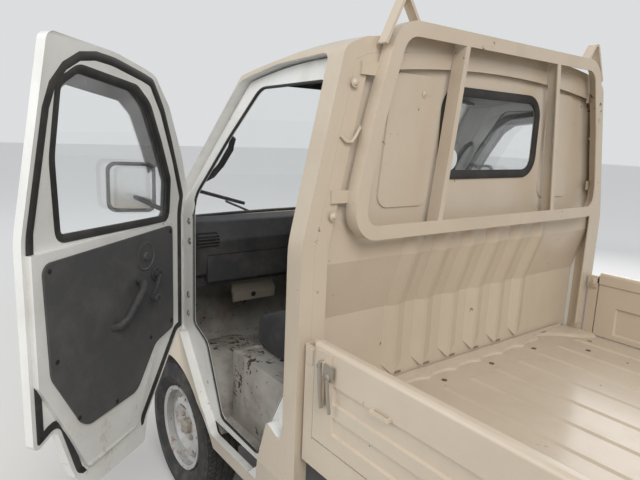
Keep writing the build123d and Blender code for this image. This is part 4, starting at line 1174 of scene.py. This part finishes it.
@dataclass
class CabShell:
    """Cab panels, screens, seals and lamps.

    Attributes:
        back_y: Where the upper back wall's face stands.
        window_half: Half the rear window's width.
        window_low: Height of the rear window's lower edge.
        window_high: Height of its upper edge.
        body: The body that the cab's pieces ride on.
    """

    back_y: float = -350.0
    window_half: float = 240.0
    window_low: float = 1319.0
    window_high: float = 1569.0
    body: str = "body"

    def paint(self) -> None:
        """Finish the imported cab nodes."""
        for name in ("cab_side_left", "cab_side_right"):
            dress(name, TwoCoat("side_frame_coats", FINISHES.sand, FINISHES.white, side_share))
        for name in ("roof", "front_panel"):
            dress(name, TwoCoat("cab_panel_coats", FINISHES.sand, FINISHES.white, outside_share))
        dress("cab_back", TwoCoat("back_wall_coats", FINISHES.sand, FINISHES.white, back_share))
        dress("cab_floor", FINISHES.floor_white)
        dress("front_bumper", FINISHES.sand)
        dress("windscreen", FINISHES.glass)
        dress("rear_window", FINISHES.glass)
        dress("headlamps", FINISHES.lens)

    def rear_window_trim(self) -> None:
        """The rear window's rubber gasket and a pale blank disc stuck on the glass."""
        forge = Forge()
        middle = (self.window_low + self.window_high) / 2
        half_height = (self.window_high - self.window_low) / 2
        # Growth from the glass's edge, and how far it stands out
        section = ((-17, 0.0), (-16, 5.0), (-9, 8.5), (3, 8.0), (10, 4.0), (11, -2.5), (0, -2.5))
        rings = []
        for grow, out in section:
            loop = rounded_loop(self.window_half + grow, half_height + grow, 62 + grow, 8)
            rings.append([(x, self.back_y + out, middle + z) for x, z in loop])
        forge.skin(rings, closed=True)
        forge.part("rear_window_gasket", self.body, FINISHES.rubber)
        forge = Forge()
        forge.disc((190.0, self.back_y - 3.4, 1368.0), (0, 1, 0), ((-0.4, 33), (0.6, 33), (0.8, 31)), 28)
        forge.part("blank_sticker", self.body, FINISHES.label)

    def lip_fittings(self) -> None:
        """Washer bolts on the cab's rear lip and panel, a small hook, and flat brown marks at the wall's foot
        for its drain slots, painted shade of the slots with stain.
        """
        hook = ((570.0, -334.0, 1450.0), (576.0, -326.0, 1446.0), (592.0, -322.0, 1424.0),
                (603.0, -322.0, 1411.0), (620.0, -324.0, 1412.0), (633.0, -328.0, 1425.0))
        forge = Forge()
        for sign in (-1, 1):
            for x, z in ((601.0, 1554.0), (650.0, 1226.0)):
                forge.bolt((sign * x, -323.0, z), (0, 1, 0), 9.0, 6.0)
            forge.bolt((sign * 329.0, -344.0, 1547.0), (0, 1, 0), 8.0, 4.0)
            forge.tube([(sign * x, y, z) for x, y, z in hook], 4.2, 8)
        forge.part("lip_bolts", self.body, FINISHES.sand)
        forge = Forge()
        # Flat brown marks for the drain slots: painted shade of the slots, with stain.
        for x in (294.0, 160.0, 30.0, -101.0, -233.0):
            loop = rounded_loop(15.0, 4.5, 4.2, 3)
            forge.skin([[(x + u, -405.0 + out, 694.0 + v) for u, v in loop] for out in (-0.6, 0.9)])
        forge.part("wall_drains", self.body, FINISHES.stain)

    def doorway_seal(self, side: Side) -> None:
        """A black bead round the doorway's inner edge, bolts on its pillar, and near-black patches of painted
        shade at the latch and low on the pillar.

        Args:
            side: Which doorway.
        """
        forge = Forge()
        loop = grown(divided(filleted(APERTURE)), 2.5)
        forge.tube([(side.value * flank(z, 35.0), y, z) for y, z in loop], 4.5, 8, closed=True)
        forge.part(f"doorway_seal_{side.word}", self.body, FINISHES.rubber)
        forge = Forge()
        for y, z in ((-1062.0, 1105.0), (-1056.0, 1035.0), (-1070.0, 835.0), (-1070.0, 765.0)):
            forge.bolt((side.value * flank(z, 31.0), y, z), (side.value, 0, 0), 9.0, 5.0)
        forge.part(f"pillar_bolts_{side.word}", self.body, FINISHES.steel)
        forge = Forge()
        # Near-black painted shade: a small patch at the latch and a round spot low on the pillar.
        forge.block(*sorted_box((side.value * 704.0, -403.5, 985.0), (side.value * 708.5, -392.0, 1027.0)))
        forge.disc((side.value * 706.0, -424.0, 640.0), (side.value, 0, 0), ((-1.5, 12), (0.8, 12)), 16)
        forge.part(f"striker_{side.word}", self.body, FINISHES.shadow)

    def screen_trim(self) -> None:
        """The windscreen's gasket and two wipers."""
        forge = Forge()
        opening = soften(((-640, 1072), (640, 1072), (540, 1610), (-540, 1610)), 60.0, 8)
        path = [(x, screen_y(x, z, 3.0), z) for x, z in grown(divided(opening), -5.0)]
        forge.tube(path, 9.0, 8, closed=True, flat=0.7)
        forge.part("windscreen_gasket", self.body, FINISHES.rubber)
        forge = Forge()
        for foot, tip in (((-330, 1058), (-30, 1180)), ((230, 1056), (520, 1170))):
            shares = [step / 6 for step in range(7)]
            arm = [Vector(foot).lerp(Vector(tip), share) for share in shares[:5]]
            forge.tube([(p.x, screen_y(p.x, p.y, -14.0), p.y) for p in arm], 5.0, 6)
            inner_end, outer_end = Vector((-190, -52)), Vector((70, 20))
            blade = [Vector(tip) + inner_end * share + outer_end * (1 - share) for share in shares]
            forge.tube([(p.x, screen_y(p.x, p.y, -6.0), p.y) for p in blade], 5.0, 6, flat=1.6)
            x, z = foot
            forge.disc((x, screen_y(x, z, -2.0), z), (0, -0.8, 0.6), ((-8, 13), (12, 13), (16, 8)))
        forge.part("wipers", self.body, FINISHES.plastic)

    def front_fittings(self) -> None:
        """Lamp bowls, indicators, a near-black sheet of painted shade behind the grille, and a blank plate.
        """
        bowl = ((0, 20), (8, 40), (24, 58), (34, 64), (34, 60), (20, 50), (6, 22))
        forge = Forge()
        for sign in (-1, 1):
            forge.disc((sign * 570.0, -1578.0, 742.0), (0.0, -1.0, 0.0), bowl, 24)
            forge.disc((sign * 570.0, -1586.0, 742.0), (0.0, -1.0, 0.0), ((0, 9), (16, 9), (22, 5)), 12)
        forge.part("lamp_bowls", self.body, FINISHES.mirror)
        forge = Forge()
        for sign in (-1, 1):
            rings = []
            for x in (547.5 + 12.0 * step for step in range(11)):
                face = bumper_y(x) + 5.0
                section = ((face, 443.0), (face, 487.0), (face + 18.0, 487.0), (face + 18.0, 443.0))
                rings.append([(sign * x, y, z) for y, z in section])
            forge.skin(rings)
        forge.part("indicators", self.body, FINISHES.amber)
        forge = Forge()
        # A near-black sheet behind the grille: painted shade in its openings.
        forge.block((-300.0, -1626.0, 566.0), (300.0, -1620.0, 646.0))
        forge.part("grille_shade_sheet", self.body, FINISHES.shadow)
        forge = Forge()
        forge.block((-165.0, -1700.5, 452.0), (165.0, -1693.0, 535.0))
        forge.part("front_plate_blank", self.body, FINISHES.plate, 1.2)

    def build(self) -> None:
        """Dress the whole cab."""
        self.paint()
        self.rear_window_trim()
        self.lip_fittings()
        self.screen_trim()
        self.front_fittings()
        for side in Side:
            self.doorway_seal(side)


def sorted_box(first: Point, second: Point) -> tuple[Point, Point]:
    """Two corners of a box put in order, lowest first."""
    return (tuple(min(a, b) for a, b in zip(first, second)), tuple(max(a, b) for a, b in zip(first, second)))


@dataclass
class CabDoor:
    """One cab door with its seals, trim and fittings.

    Attributes:
        side: Which side it hangs on.
        opened: How far it stands open at rest, in degrees.
        hinge_x: Distance of the hinges' axis from the middle plane.
        hinge_y: The axis's place along the truck.
    """

    side: Side
    opened: float
    hinge_x: float = 734.0
    hinge_y: float = -1109.0

    def __post_init__(self) -> None:
        """Work out the body's name and the turn from shut to rest."""
        self.body = f"door_{self.side.word}_body"
        pivot = Matrix.Translation(place(self.side.value * self.hinge_x, self.hinge_y, 0))
        angle = -self.side.value * math.radians(self.opened)
        self.turn = pivot @ Matrix.Rotation(angle, 4, "Z") @ pivot.inverted()
        outward = Matrix.Rotation(angle, 3, "Z") @ Vector((self.side.value, 0.0, 0.0))
        self.outward = tuple(outward)

    def spot(self, y: float, z: float, inset: float) -> Point:
        """A point on the shut door, at a depth in from its outer face."""
        return (self.side.value * flank(z, inset), y, z)

    def band(self, forge: Forge, outline: Outline, section: Sequence[tuple[float, float]]) -> None:
        """Run a section round an outline on the door.

        Args:
            forge: Where the band is made.
            outline: Its y and z.
            section: Pairs of growth from the outline and depth in from the outer face.
        """
        rings = [[self.spot(y, z, inset) for y, z in grown(outline, grow)] for grow, inset in section]
        forge.skin(rings, closed=True)

    def paint(self) -> None:
        """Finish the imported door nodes."""
        word = self.side.word
        mask = facing_share(self.outward)
        dress(f"door_{word}", TwoCoat(f"door_coats_{word}", FINISHES.sand, FINISHES.white, mask))
        dress(f"glass_{word}", FINISHES.glass)
        dress(f"trim_{word}", FINISHES.trim)
        dress(f"mirror_{word}", FINISHES.plastic)

    def weatherstrip(self) -> None:
        """The black seal round the door's inner edge."""
        forge = Forge(self.turn)
        loop = divided(filleted(SEAL_LINE))
        self.band(forge, loop, ((-13, 22), (-12, 26), (-17, 29), (-28, 29), (-34, 26), (-33, 22)))
        forge.part(f"door_seal_{self.side.word}", self.body, FINISHES.rubber)

    def window_trim(self) -> None:
        """Black channel round the window inside and out, and a smoked visor over it."""
        word = self.side.word
        loop = divided(filleted(WINDOW_LINE))
        forge = Forge(self.turn)
        inner_lip = ((-9, 19.5), (-9, 23), (-4, 26.5), (9, 27), (13, 25.8), (13, 23), (0.5, 22), (0.5, 19.5))
        outer_lip = ((-7, 13.5), (-7, 8), (-3, -1.5), (7, -2), (9, 1), (0.5, 3), (0.5, 13.5))
        self.band(forge, loop, inner_lip)
        self.band(forge, loop, outer_lip)
        forge.part(f"window_channel_{word}", self.body, FINISHES.rubber)
        outer, inner = grown(loop, 14.0), grown(loop, -34.0)
        chosen = [index for index, (y, z) in enumerate(loop)
                  if z > 1300.0 and not (y > -470.0 and z < 1500.0)]
        forge = Forge(self.turn)
        rings = [[self.spot(*outer[i], -1.0), self.spot(*outer[i], -4.0), self.spot(*inner[i], -17.0),
                  self.spot(*inner[i], -14.5)] for i in chosen]
        forge.skin(rings)
        forge.part(f"rain_visor_{word}", self.body, FINISHES.smoked)

    def fittings(self) -> None:
        """Window crank, pull handle, boss and latch on the trim card; the latch's recess, the clips and a
        spot high at the door's rear are near-black painted shade.
        """
        face = 47.0
        word = self.side.word
        inward = (-self.side.value, 0, 0)
        crank_y, crank_z = -907.0, 961.0
        forge = Forge(self.turn)
        rose, knob = ((0, 24), (6, 24), (9, 20), (9, 12), (22, 11)), ((0, 9), (4, 13), (24, 12), (28, 8))
        arm = ((0, 0, 20), (30, -34, 25), (58, -62, 26))
        forge.disc(self.spot(crank_y, crank_z, face - 1), inward, rose)
        forge.tube([self.spot(crank_y + y, crank_z + z, face + out) for y, z, out in arm], 8.0, 8, flat=0.75)
        forge.disc(self.spot(crank_y + 56, crank_z - 60, face + 22), inward, knob)
        handle_y, handle_z = -754.0, 905.0
        profile = ((-62, 56, -4), (-56, 50, 22), (-36, 30, 34), (36, -30, 34), (56, -50, 22), (62, -56, -4))
        forge.tube([self.spot(handle_y + y, handle_z + z, face + out) for y, z, out in profile], 13.0, 10)
        forge.part(f"door_handles_{word}", self.body, FINISHES.plastic)
        forge = Forge(self.turn)
        forge.disc(self.spot(-859.0, 1028.0, face - 1), inward,
                   ((0, 46), (3, 46), (4, 42), (1.2, 39), (1.2, 14), (9, 12), (10, 8)), 28)
        forge.part(f"trim_boss_{word}", self.body, FINISHES.trim)
        forge = Forge(self.turn)
        # Near-black painted shade: the latch's recess, the clips round the card and a spot high at the door's
        # rear.
        loop = rounded_loop(24, 9, 5, 3)
        forge.skin([[self.spot(-471.0 + y, 1016.0 + z, inset) for y, z in loop] for inset in (39.0, 41.5)])
        for y, z in ((-540.0, 640.0), (-700.0, 612.0), (-880.0, 752.0), (-1000.0, 770.0), (-1000.0, 1085.0),
                     (-460.0, 1070.0), (-470.0, 830.0)):
            forge.disc(self.spot(y, z, face - 1.0), inward, ((0, 7), (1.6, 7), (3, 4)), 10)
        forge.disc(self.spot(-462.0, 1566.0, 23.5), inward, ((0, 6.5), (1.2, 6.5)), 14)
        forge.part(f"door_clips_{word}", self.body, FINISHES.shadow)

    def mirror_glass(self) -> None:
        """The mirror's glass in a black rubber rim."""
        word = self.side.word
        centre = Vector((882.0, -1060.0, 1215.0))
        across, out = Vector((0.81, 0.58, 0.0)), Vector((-0.58, 0.81, 0.0))

        def ring(shrink: float, height: float) -> list[Point]:
            """One loop of points over the mirror's face.

            Args:
                shrink: How far the loop stands in from the mirror's edge.
                height: How far it stands out from the face.

            Returns:
                The loop's points on the shut door.
            """
            loop = rounded_loop(82.5 - shrink, 87.5 - shrink, 30.0 - shrink * 0.6, 6)
            spots = [centre + across * u + out * height + Vector((0, 0, v)) for u, v in loop]
            return [(self.side.value * s.x, s.y, s.z) for s in spots]

        forge = Forge(self.turn)
        rim = ((0.5, -4.0), (-0.5, 1.5), (3.0, 3.5), (10.0, 3.0), (13.0, -1.0))
        forge.skin([ring(shrink, height) for shrink, height in rim], closed=True)
        forge.part(f"mirror_rim_{word}", self.body, FINISHES.rubber)
        forge = Forge(self.turn)
        forge.skin([ring(12.5, -0.5), ring(12.5, 1.2)])
        forge.part(f"mirror_glass_{word}", self.body, FINISHES.mirror)

    def outside(self) -> None:
        """Outer handle on the skin, with its dished well."""
        word = self.side.word
        forge = Forge(self.turn)
        forge.skin([[self.spot(-520 + y, 1010 + z, inset) for y, z in rounded_loop(72, 24, 14)]
                    for inset in (1.0, -2.5)])
        forge.skin([[self.spot(-516 + y, 1015 + z, inset) for y, z in rounded_loop(54, 11, 9)]
                    for inset in (-2.0, -11.0)])
        forge.disc(self.spot(-470, 968, 0.5), (self.side.value, 0, 0), ((0, 12), (3, 12), (4, 9)))
        forge.part(f"outer_handle_{word}", self.body, FINISHES.plastic, 1.0)

    def build(self) -> None:
        """Dress the whole door."""
        self.paint()
        self.weatherstrip()
        self.window_trim()
        self.fittings()
        self.mirror_glass()
        self.outside()


@dataclass
class LoadBed:
    """Bed, gates and guard frame."""

    def paint(self) -> None:
        """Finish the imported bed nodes."""
        for name in ("gate_left", "gate_right", "tailgate", "bed_frame", "guard_frame", "bed_floor"):
            dress(name, FINISHES.sand_worn)
        dress("rear_lamps", FINISHES.red)
        dress("rear_mudguards", FINISHES.rubber)

    def floor_corners(self) -> None:
        """The floor's raised corners behind the cab, its step along the wall's foot, and its bolts, drawn
        dark for dirt and for painted shade of their recesses.
        """
        forge = Forge()
        edge = ((440, -396), (486, -390), (534, -368), (578, -332), (622, -286), (668, -256), (688, -256))
        for sign in (-1, 1):
            rings = []
            for drop, z in ((0.0, 664.0), (9.0, 671.0), (20.0, 674.5)):
                curve = [(sign * (x + drop * 0.5), y - drop, z) for x, y in edge]
                rings.append(curve + [(sign * 690.0, -396.5, z), (sign * (452.0 + drop * 0.5), -397.0, z)])
            forge.skin(rings)
        forge.part("floor_corners", "body", FINISHES.sand_worn)
        forge = Forge()
        rings = []
        columns, column_pitch, wall_foot_y = 114, 8.0, -399.0
        ribs = [(number - 2.5) * 131.0 for number in range(6)]
        for step in range(columns):
            x = (step - (columns - 1) / 2) * column_pitch
            nearest = min(abs(x - rib) for rib in ribs)
            edge_y = -368.0 + 14.0 * math.exp(-(nearest / 24.0) ** 2)
            section = ((wall_foot_y, 664.0), (wall_foot_y, 677.0), (edge_y - 12.0, 674.0),
                       (edge_y - 4.0, 671.5), (edge_y, 664.0))
            rings.append([(x, y, z) for y, z in section])
        forge.skin(rings)
        forge.part("floor_step", "body", FINISHES.sand_worn)
        forge = Forge()
        # The bolts are drawn dark for dirt and for painted shade of their recesses.
        for x, y in ((315, -322), (162, -322), (-87, -322), (-347, -322), (-512, -198), (-612, -246),
                     (560, -200), (612, -246), (315, 560), (-315, 560), (315, 1450), (-315, 1450)):
            forge.bolt((x, y, 665.0), (0, 0, 1), 7.0, 3.0)
        forge.part("floor_bolts", "body", FINISHES.bolt_dirt_and_shade)

    def latches(self) -> None:
        """Steel latches at the gates' corners: a bracket on the post and a hanging lever on the gate."""
        # Distance from the middle plane, distance along the gate from its corner, height
        lever = ((733.0, 0, 893.0), (741.0, 0, 890.0), (742.5, 3, 860.0), (741.0, 8, 800.0),
                 (742.0, 14, 778.0))
        hasp = ((741.0, 32, 858.0), (742.5, 36, 830.0), (742.0, 46, 776.0))
        for side in Side:
            sign = side.value
            forge = Forge()
            forge.block(*sorted_box((sign * 720.0, -312.0, 860.0), (sign * 725.0, -286.0, 900.0)))
            forge.block(*sorted_box((sign * 698.0, -320.0, 866.0), (sign * 688.0, -282.0, 912.0)))
            forge.block(*sorted_box((sign * 706.0, -288.0, 884.0), (sign * 660.0, -282.0, 904.0)))
            forge.bolt((sign * 690.0, -302.0, 900.0), (-sign, 0, 0), 4.5, 3.0)
            forge.bolt((sign * 690.0, -302.0, 880.0), (-sign, 0, 0), 4.5, 3.0)
            forge.part(f"latch_bracket_{side.word}", "body", FINISHES.sand_worn)
            forge = Forge()
            for y, lean in ((-237.0, 1), (1605.0, -1)):
                forge.tube([(sign * x, y + along * lean, z) for x, along, z in lever], 5.5, 8, flat=0.8)
                forge.block(*sorted_box((sign * 731.0, y - 12, 852.0), (sign * 736.5, y + 42 * lean, 889.0)))
                forge.disc((sign * 732.0, y + 30 * lean, 862.0), (sign, 0, 0), ((0, 9), (9, 9), (11, 6)), 14)
                forge.tube([(sign * x, y + along * lean, z) for x, along, z in hasp], 5.0, 8, flat=0.7)
                forge.bolt((sign * 731.5, y - 16, 872.0), (sign, 0, 0), 5.0, 4.0)
                forge.bolt((sign * 731.5, y + 16, 872.0), (sign, 0, 0), 5.0, 4.0)
            body = f"gate_{side.word}_body"
            forge.part(f"gate_latches_{side.word}", body, FINISHES.old_steel)

    def lamps(self) -> None:
        """Amber and clear windows of the rear lamps, and a blank rear plate."""
        forge = Forge()
        for sign in (-1, 1):
            forge.block(*sorted_box((sign * 632.0, 1687.0, 517.0), (sign * 672.0, 1690.0, 573.0)))
        forge.part("rear_indicators", "body", FINISHES.amber, 1.5)
        forge = Forge()
        for sign in (-1, 1):
            forge.block(*sorted_box((sign * 530.0, 1687.0, 517.0), (sign * 562.0, 1690.0, 573.0)))
        forge.part("reversing_lamps", "body", FINISHES.label, 1.5)

    def build(self) -> None:
        """Dress the whole bed."""
        self.paint()
        self.floor_corners()
        self.latches()
        self.lamps()


@dataclass
class RunningGear:
    """Chassis, axles, wheels and what hangs below.

    Attributes:
        hub_x: Distance of the wheels' outer hub faces from the middle plane.
        stud_radius: Radius of the circle that the wheel nuts stand on.
        axle_z: Height of the axles.
        axles: Each axle's word in the node names, and its place along the truck.
    """

    hub_x: float = HALF_TRACK + 21.5
    stud_radius: float = 50.0
    axle_z: float = 271.0
    axles: tuple[tuple[str, float], ...] = (("front", -1150.5), ("rear", 749.5))

    def paint(self) -> None:
        """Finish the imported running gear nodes."""
        for name in ("chassis_frame", "cross_members", "front_suspension", "rear_axle", "leaf_springs",
                     "fuel_tank", "knuckle_left", "knuckle_right"):
            dress(name, FINISHES.black)
        dress("engine", FINISHES.iron)
        dress("exhaust", FINISHES.pipe)
        for word, y in self.axles:
            tread = Tread(f"tyre_rubber_{word}", along_m(y), height_m(self.axle_z))
            for side in Side:
                dress(f"rim_{word}_{side.word}", FINISHES.wheel)
                dress(f"tyre_{word}_{side.word}", tread)

    def hubs(self) -> None:
        """Wheel nuts and hub caps."""
        for word, y in self.axles:
            for side in Side:
                sign = side.value
                wheel = f"{word}_{side.word}"
                forge = Forge()
                for index in range(4):
                    angle = math.tau * (index + 0.5) / 4
                    spot = (sign * self.hub_x, y + self.stud_radius * math.cos(angle),
                            self.axle_z + self.stud_radius * math.sin(angle))
                    forge.disc(spot, (sign, 0, 0), ((-1, 11), (9, 11), (13, 8), (14, 3)), 6)
                forge.disc((sign * self.hub_x, y, self.axle_z), (sign, 0, 0),
                           ((-1, 33), (8, 32), (18, 29), (22, 22), (23, 8)), 28)
                forge.part(f"hub_cap_{wheel}", f"wheel_{wheel}", FINISHES.old_steel)

    def build(self) -> None:
        """Dress all the running gear."""
        self.paint()
        self.hubs()


PUFF_LIMIT_M = 0.010
PUFF_FRAMES = 20


@dataclass
class Cockpit:
    """Seats, dashboard and controls.

    Attributes:
        driver_x: The driver's place across the cab.
    """

    driver_x: float = -330.0

    def paint(self) -> None:
        """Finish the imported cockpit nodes."""
        dress("dashboard", FINISHES.plastic)
        dress("steering_column", FINISHES.plastic)
        dress("steering_wheel", FINISHES.plastic)

    def dash_fittings(self) -> None:
        """Binnacle, vents, radio slot, and a bare folded bracket below the dashboard."""
        forge = Forge()
        profile = ((-1186, 1084), (-1180, 1128), (-1150, 1142), (-1106, 1138), (-1100, 1120), (-1118, 1010),
                   (-1135, 1000))
        forge.skin([[(self.driver_x + x, y, z - (0 if abs(x) < 130 else 12)) for y, z in profile]
                    for x in (-148, -130, 130, 148)])
        forge.block((-95.0, -1134.0, 952.0), (95.0, -1124.0, 1002.0))
        for x in (600.0, 150.0, -150.0, -600.0):
            for row in range(4):
                forge.block((x - 44, -1128.0, 996.0 + 12 * row), (x + 44, -1118.0, 1000.0 + 12 * row))
        forge.part("dash_fittings", "body", FINISHES.plastic, 3.0)
        forge = Forge()
        fold = ((-1236, 838), (-1234, 772), (-1218, 764), (-1224, 722), (-1230, 722), (-1240, 764),
                (-1240, 838))
        forge.skin([[(x, y, z) for y, z in fold] for x in (238.0, 440.0)])
        forge.part("dash_bracket", "body", FINISHES.old_steel, 1.0)
        forge = Forge()
        forge.disc((346.0, -1219.5, 746.0), (0, 1, 0), ((-1.5, 11), (0.5, 11)), 20)
        forge.part("bracket_hole", "body", FINISHES.shadow)

    def controls(self) -> None:
        """Pedals, gear lever, hand brake, rear-view mirror, visors and grips."""
        forge = Forge()
        for x, z in ((-238.0, 552.0), (-330.0, 590.0), (-418.0, 590.0)):
            forge.block((x - 26, -1404.0, z - 34), (x + 26, -1394.0, z + 34))
            forge.tube([(x, -1402.0, z), (x, -1450.0, z + 60), (x, -1470.0, z + 170)], 6.0, 8)
        forge.tube([(-40.0, -900.0, 438.0), (-44.0, -930.0, 560.0), (-52.0, -950.0, 690.0)], 7.0, 8)
        knob = ((0, 12), (8, 22), (24, 26), (38, 22), (45, 8))
        boot = ((0, 58), (12, 50), (26, 36), (40, 30), (54, 16))
        forge.disc((-52.0, -950.0, 684.0), (-0.1, -0.2, 1.0), knob, 18)
        forge.disc((-40.0, -900.0, 438.0), (0, 0, 1), boot, 20)
        brake = ((-700.0, 688.0), (-760.0, 712.0), (-860.0, 758.0), (-905.0, 772.0))
        forge.tube([(20.0, y, z) for y, z in brake], 12.0, 10)
        forge.part("floor_controls", "body", FINISHES.plastic, 1.0)
        forge = Forge()
        forge.tube([(0.0, screen_y(0, 1590, 16), 1590.0), (0.0, -930.0, 1570.0)], 6.0, 8)
        forge.skin([[(x, -930.0 + y, 1540.0 + z) for x, z in rounded_loop(104 - s, 30 - s, 24 - s)]
                    for y, s in ((-16, 8), (-8, 0), (4, 0), (6, 3))])
        for side in Side:
            sign = side.value
            path = [(-1040.0, 1252.0, 38), (-1030.0, 1270.0, 66), (-1004.0, 1306.0, 78), (-960.0, 1364.0, 78),
                    (-936.0, 1396.0, 66), (-928.0, 1410.0, 38)]
            forge.tube([(sign * flank(z, inset + 8.0), y + 8.0, z) for y, z, inset in path], 11.0, 8)
        forge.part("cab_grips", "body", FINISHES.plastic)
        forge = Forge()
        for sign in (-1, 1):
            rings = []
            for step in range(9):
                t = step / 8
                y, z = -958.0 + 150 * t, 1606.0 - 40 * (t - 0.2) ** 2
                section = ((110, -4, 0), (490, -4, 0), (490, 4, 9), (110, 4, 9))
                rings.append([(sign * x, y + back, z - down) for x, back, down in section])
            forge.skin(rings)
        forge.part("sun_visors", "body", FINISHES.cover, 2.0)

    def pad(self, name: str, low: Point, high: Point, lean: float, crown: float) -> bpy.types.Object:
        """A crowned pad with piped edges and sewn channels.

        Args:
            name: The piece's name.
            low: Lowest corner of its space.
            high: Highest corner of its space.
            lean: How far its top stands behind its foot.
            crown: How deep the sewn channels are.

        Returns:
            The new object.
        """
        size = [b - a for a, b in zip(low, high)]
        upright = size[1] < size[2]
        forge = Forge()
        bmesh.ops.create_cube(forge.mesh, size=1.0)
        bmesh.ops.subdivide_edges(forge.mesh, edges=forge.mesh.edges, cuts=26, use_grid_fill=True)
        for vert in forge.mesh.verts:
            u, v, w = (2 * c for c in vert.co)
            spots = []
            for c, others in ((u, (v, w)), (v, (u, w)), (w, (u, v))):
                round_in = 1.0 - 0.05 * sum(abs(o) ** 5 for o in others) / 2
                bulge = (1 - others[0] ** 4) * (1 - others[1] ** 4)
                spots.append(c * 0.94 * round_in * (1.0 + 0.05 * bulge))
            vert.co = place(*(low[i] + size[i] * (spots[i] + 1) / 2 for i in range(3)))
        piece = forge.part(name, "body", FINISHES.cover)
        puff(piece, PUFF_LIMIT_M)
        middle = place(*((a + b) / 2 for a, b in zip(low, high)))
        half = Vector(size) / (2 * MM_PER_M)
        for vert in piece.data.vertices:
            u, v, w = ((vert.co[i] - middle[i]) / half[i] for i in range(3))
            channel = max(math.exp(-((u - seam) / 0.035) ** 2) for seam in (-0.5, 0.0, 0.5))
            edge, face = (w, -v) if upright else (v, w)
            depth = crown / MM_PER_M * channel * max(0.0, 1 - abs(edge) ** 8) * min(1.0, max(0.0, face) * 1.4)
            if upright:
                vert.co.y += depth + lean / MM_PER_M * (w + 1) / 2
            else:
                vert.co.z -= depth
        return piece

    def seats(self) -> None:
        """Two squabs and two backs in place of the plain solids."""
        pieces = []
        for side in Side:
            sign = side.value
            low, high = sorted_box((sign * 74.0, -836.0, 690.5), (sign * 586.0, -494.0, 809.0))
            pieces.append(self.pad(f"seat_squab_{side.word}", low, high, 0.0, 4.0))
            low, high = sorted_box((sign * 94.0, -544.0, 806.0), (sign * 566.0, -464.0, 1240.0))
            pieces.append(self.pad(f"seat_back_{side.word}", low, high, 32.0, 4.0))
        for piece in pieces:
            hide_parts("seats")

    def build(self) -> None:
        """Dress the whole cockpit."""
        self.paint()
        self.dash_fittings()
        self.controls()
        self.seats()


def puff(piece: bpy.types.Object, limit: float) -> None:
    """Blow a closed pad up as cloth under pressure and keep the result.

    The cloth is still swelling at the last frame, so the limit stops nearly every point.

    Args:
        piece: The pad.
        limit: How far a point may move, in metres.
    """
    before = [vert.co.copy() for vert in piece.data.vertices]
    cloth = piece.modifiers.new("cover", "CLOTH")
    cloth.settings.quality = 5
    cloth.settings.use_pressure = True
    cloth.settings.uniform_pressure_force = 4.0
    cloth.settings.effector_weights.gravity = 0.0
    cloth.point_cache.frame_start, cloth.point_cache.frame_end = 1, PUFF_FRAMES
    scene = bpy.context.scene
    for number in range(1, PUFF_FRAMES + 1):
        scene.frame_set(number)
    shape = piece.evaluated_get(bpy.context.evaluated_depsgraph_get()).to_mesh()
    after = [vert.co.copy() for vert in shape.vertices]
    piece.modifiers.remove(cloth)
    scene.frame_set(1)
    for vert, start, end in zip(piece.data.vertices, before, after):
        move = end - start
        vert.co = start + (move if move.length <= limit else move.normalized() * limit)
    log.info("puffed %s", piece.name)


def main() -> None:
    """Build the studio and dress the truck, sub-assembly by sub-assembly."""
    logging.basicConfig(level=logging.INFO, format="%(name)s: %(message)s")
    Studio().build()
    CabShell().build()
    CabDoor(Side.LEFT, 54.0).build()
    CabDoor(Side.RIGHT, 0.0).build()
    LoadBed().build()
    RunningGear().build()
    Cockpit().build()


if __name__ == "__main__":
    main()
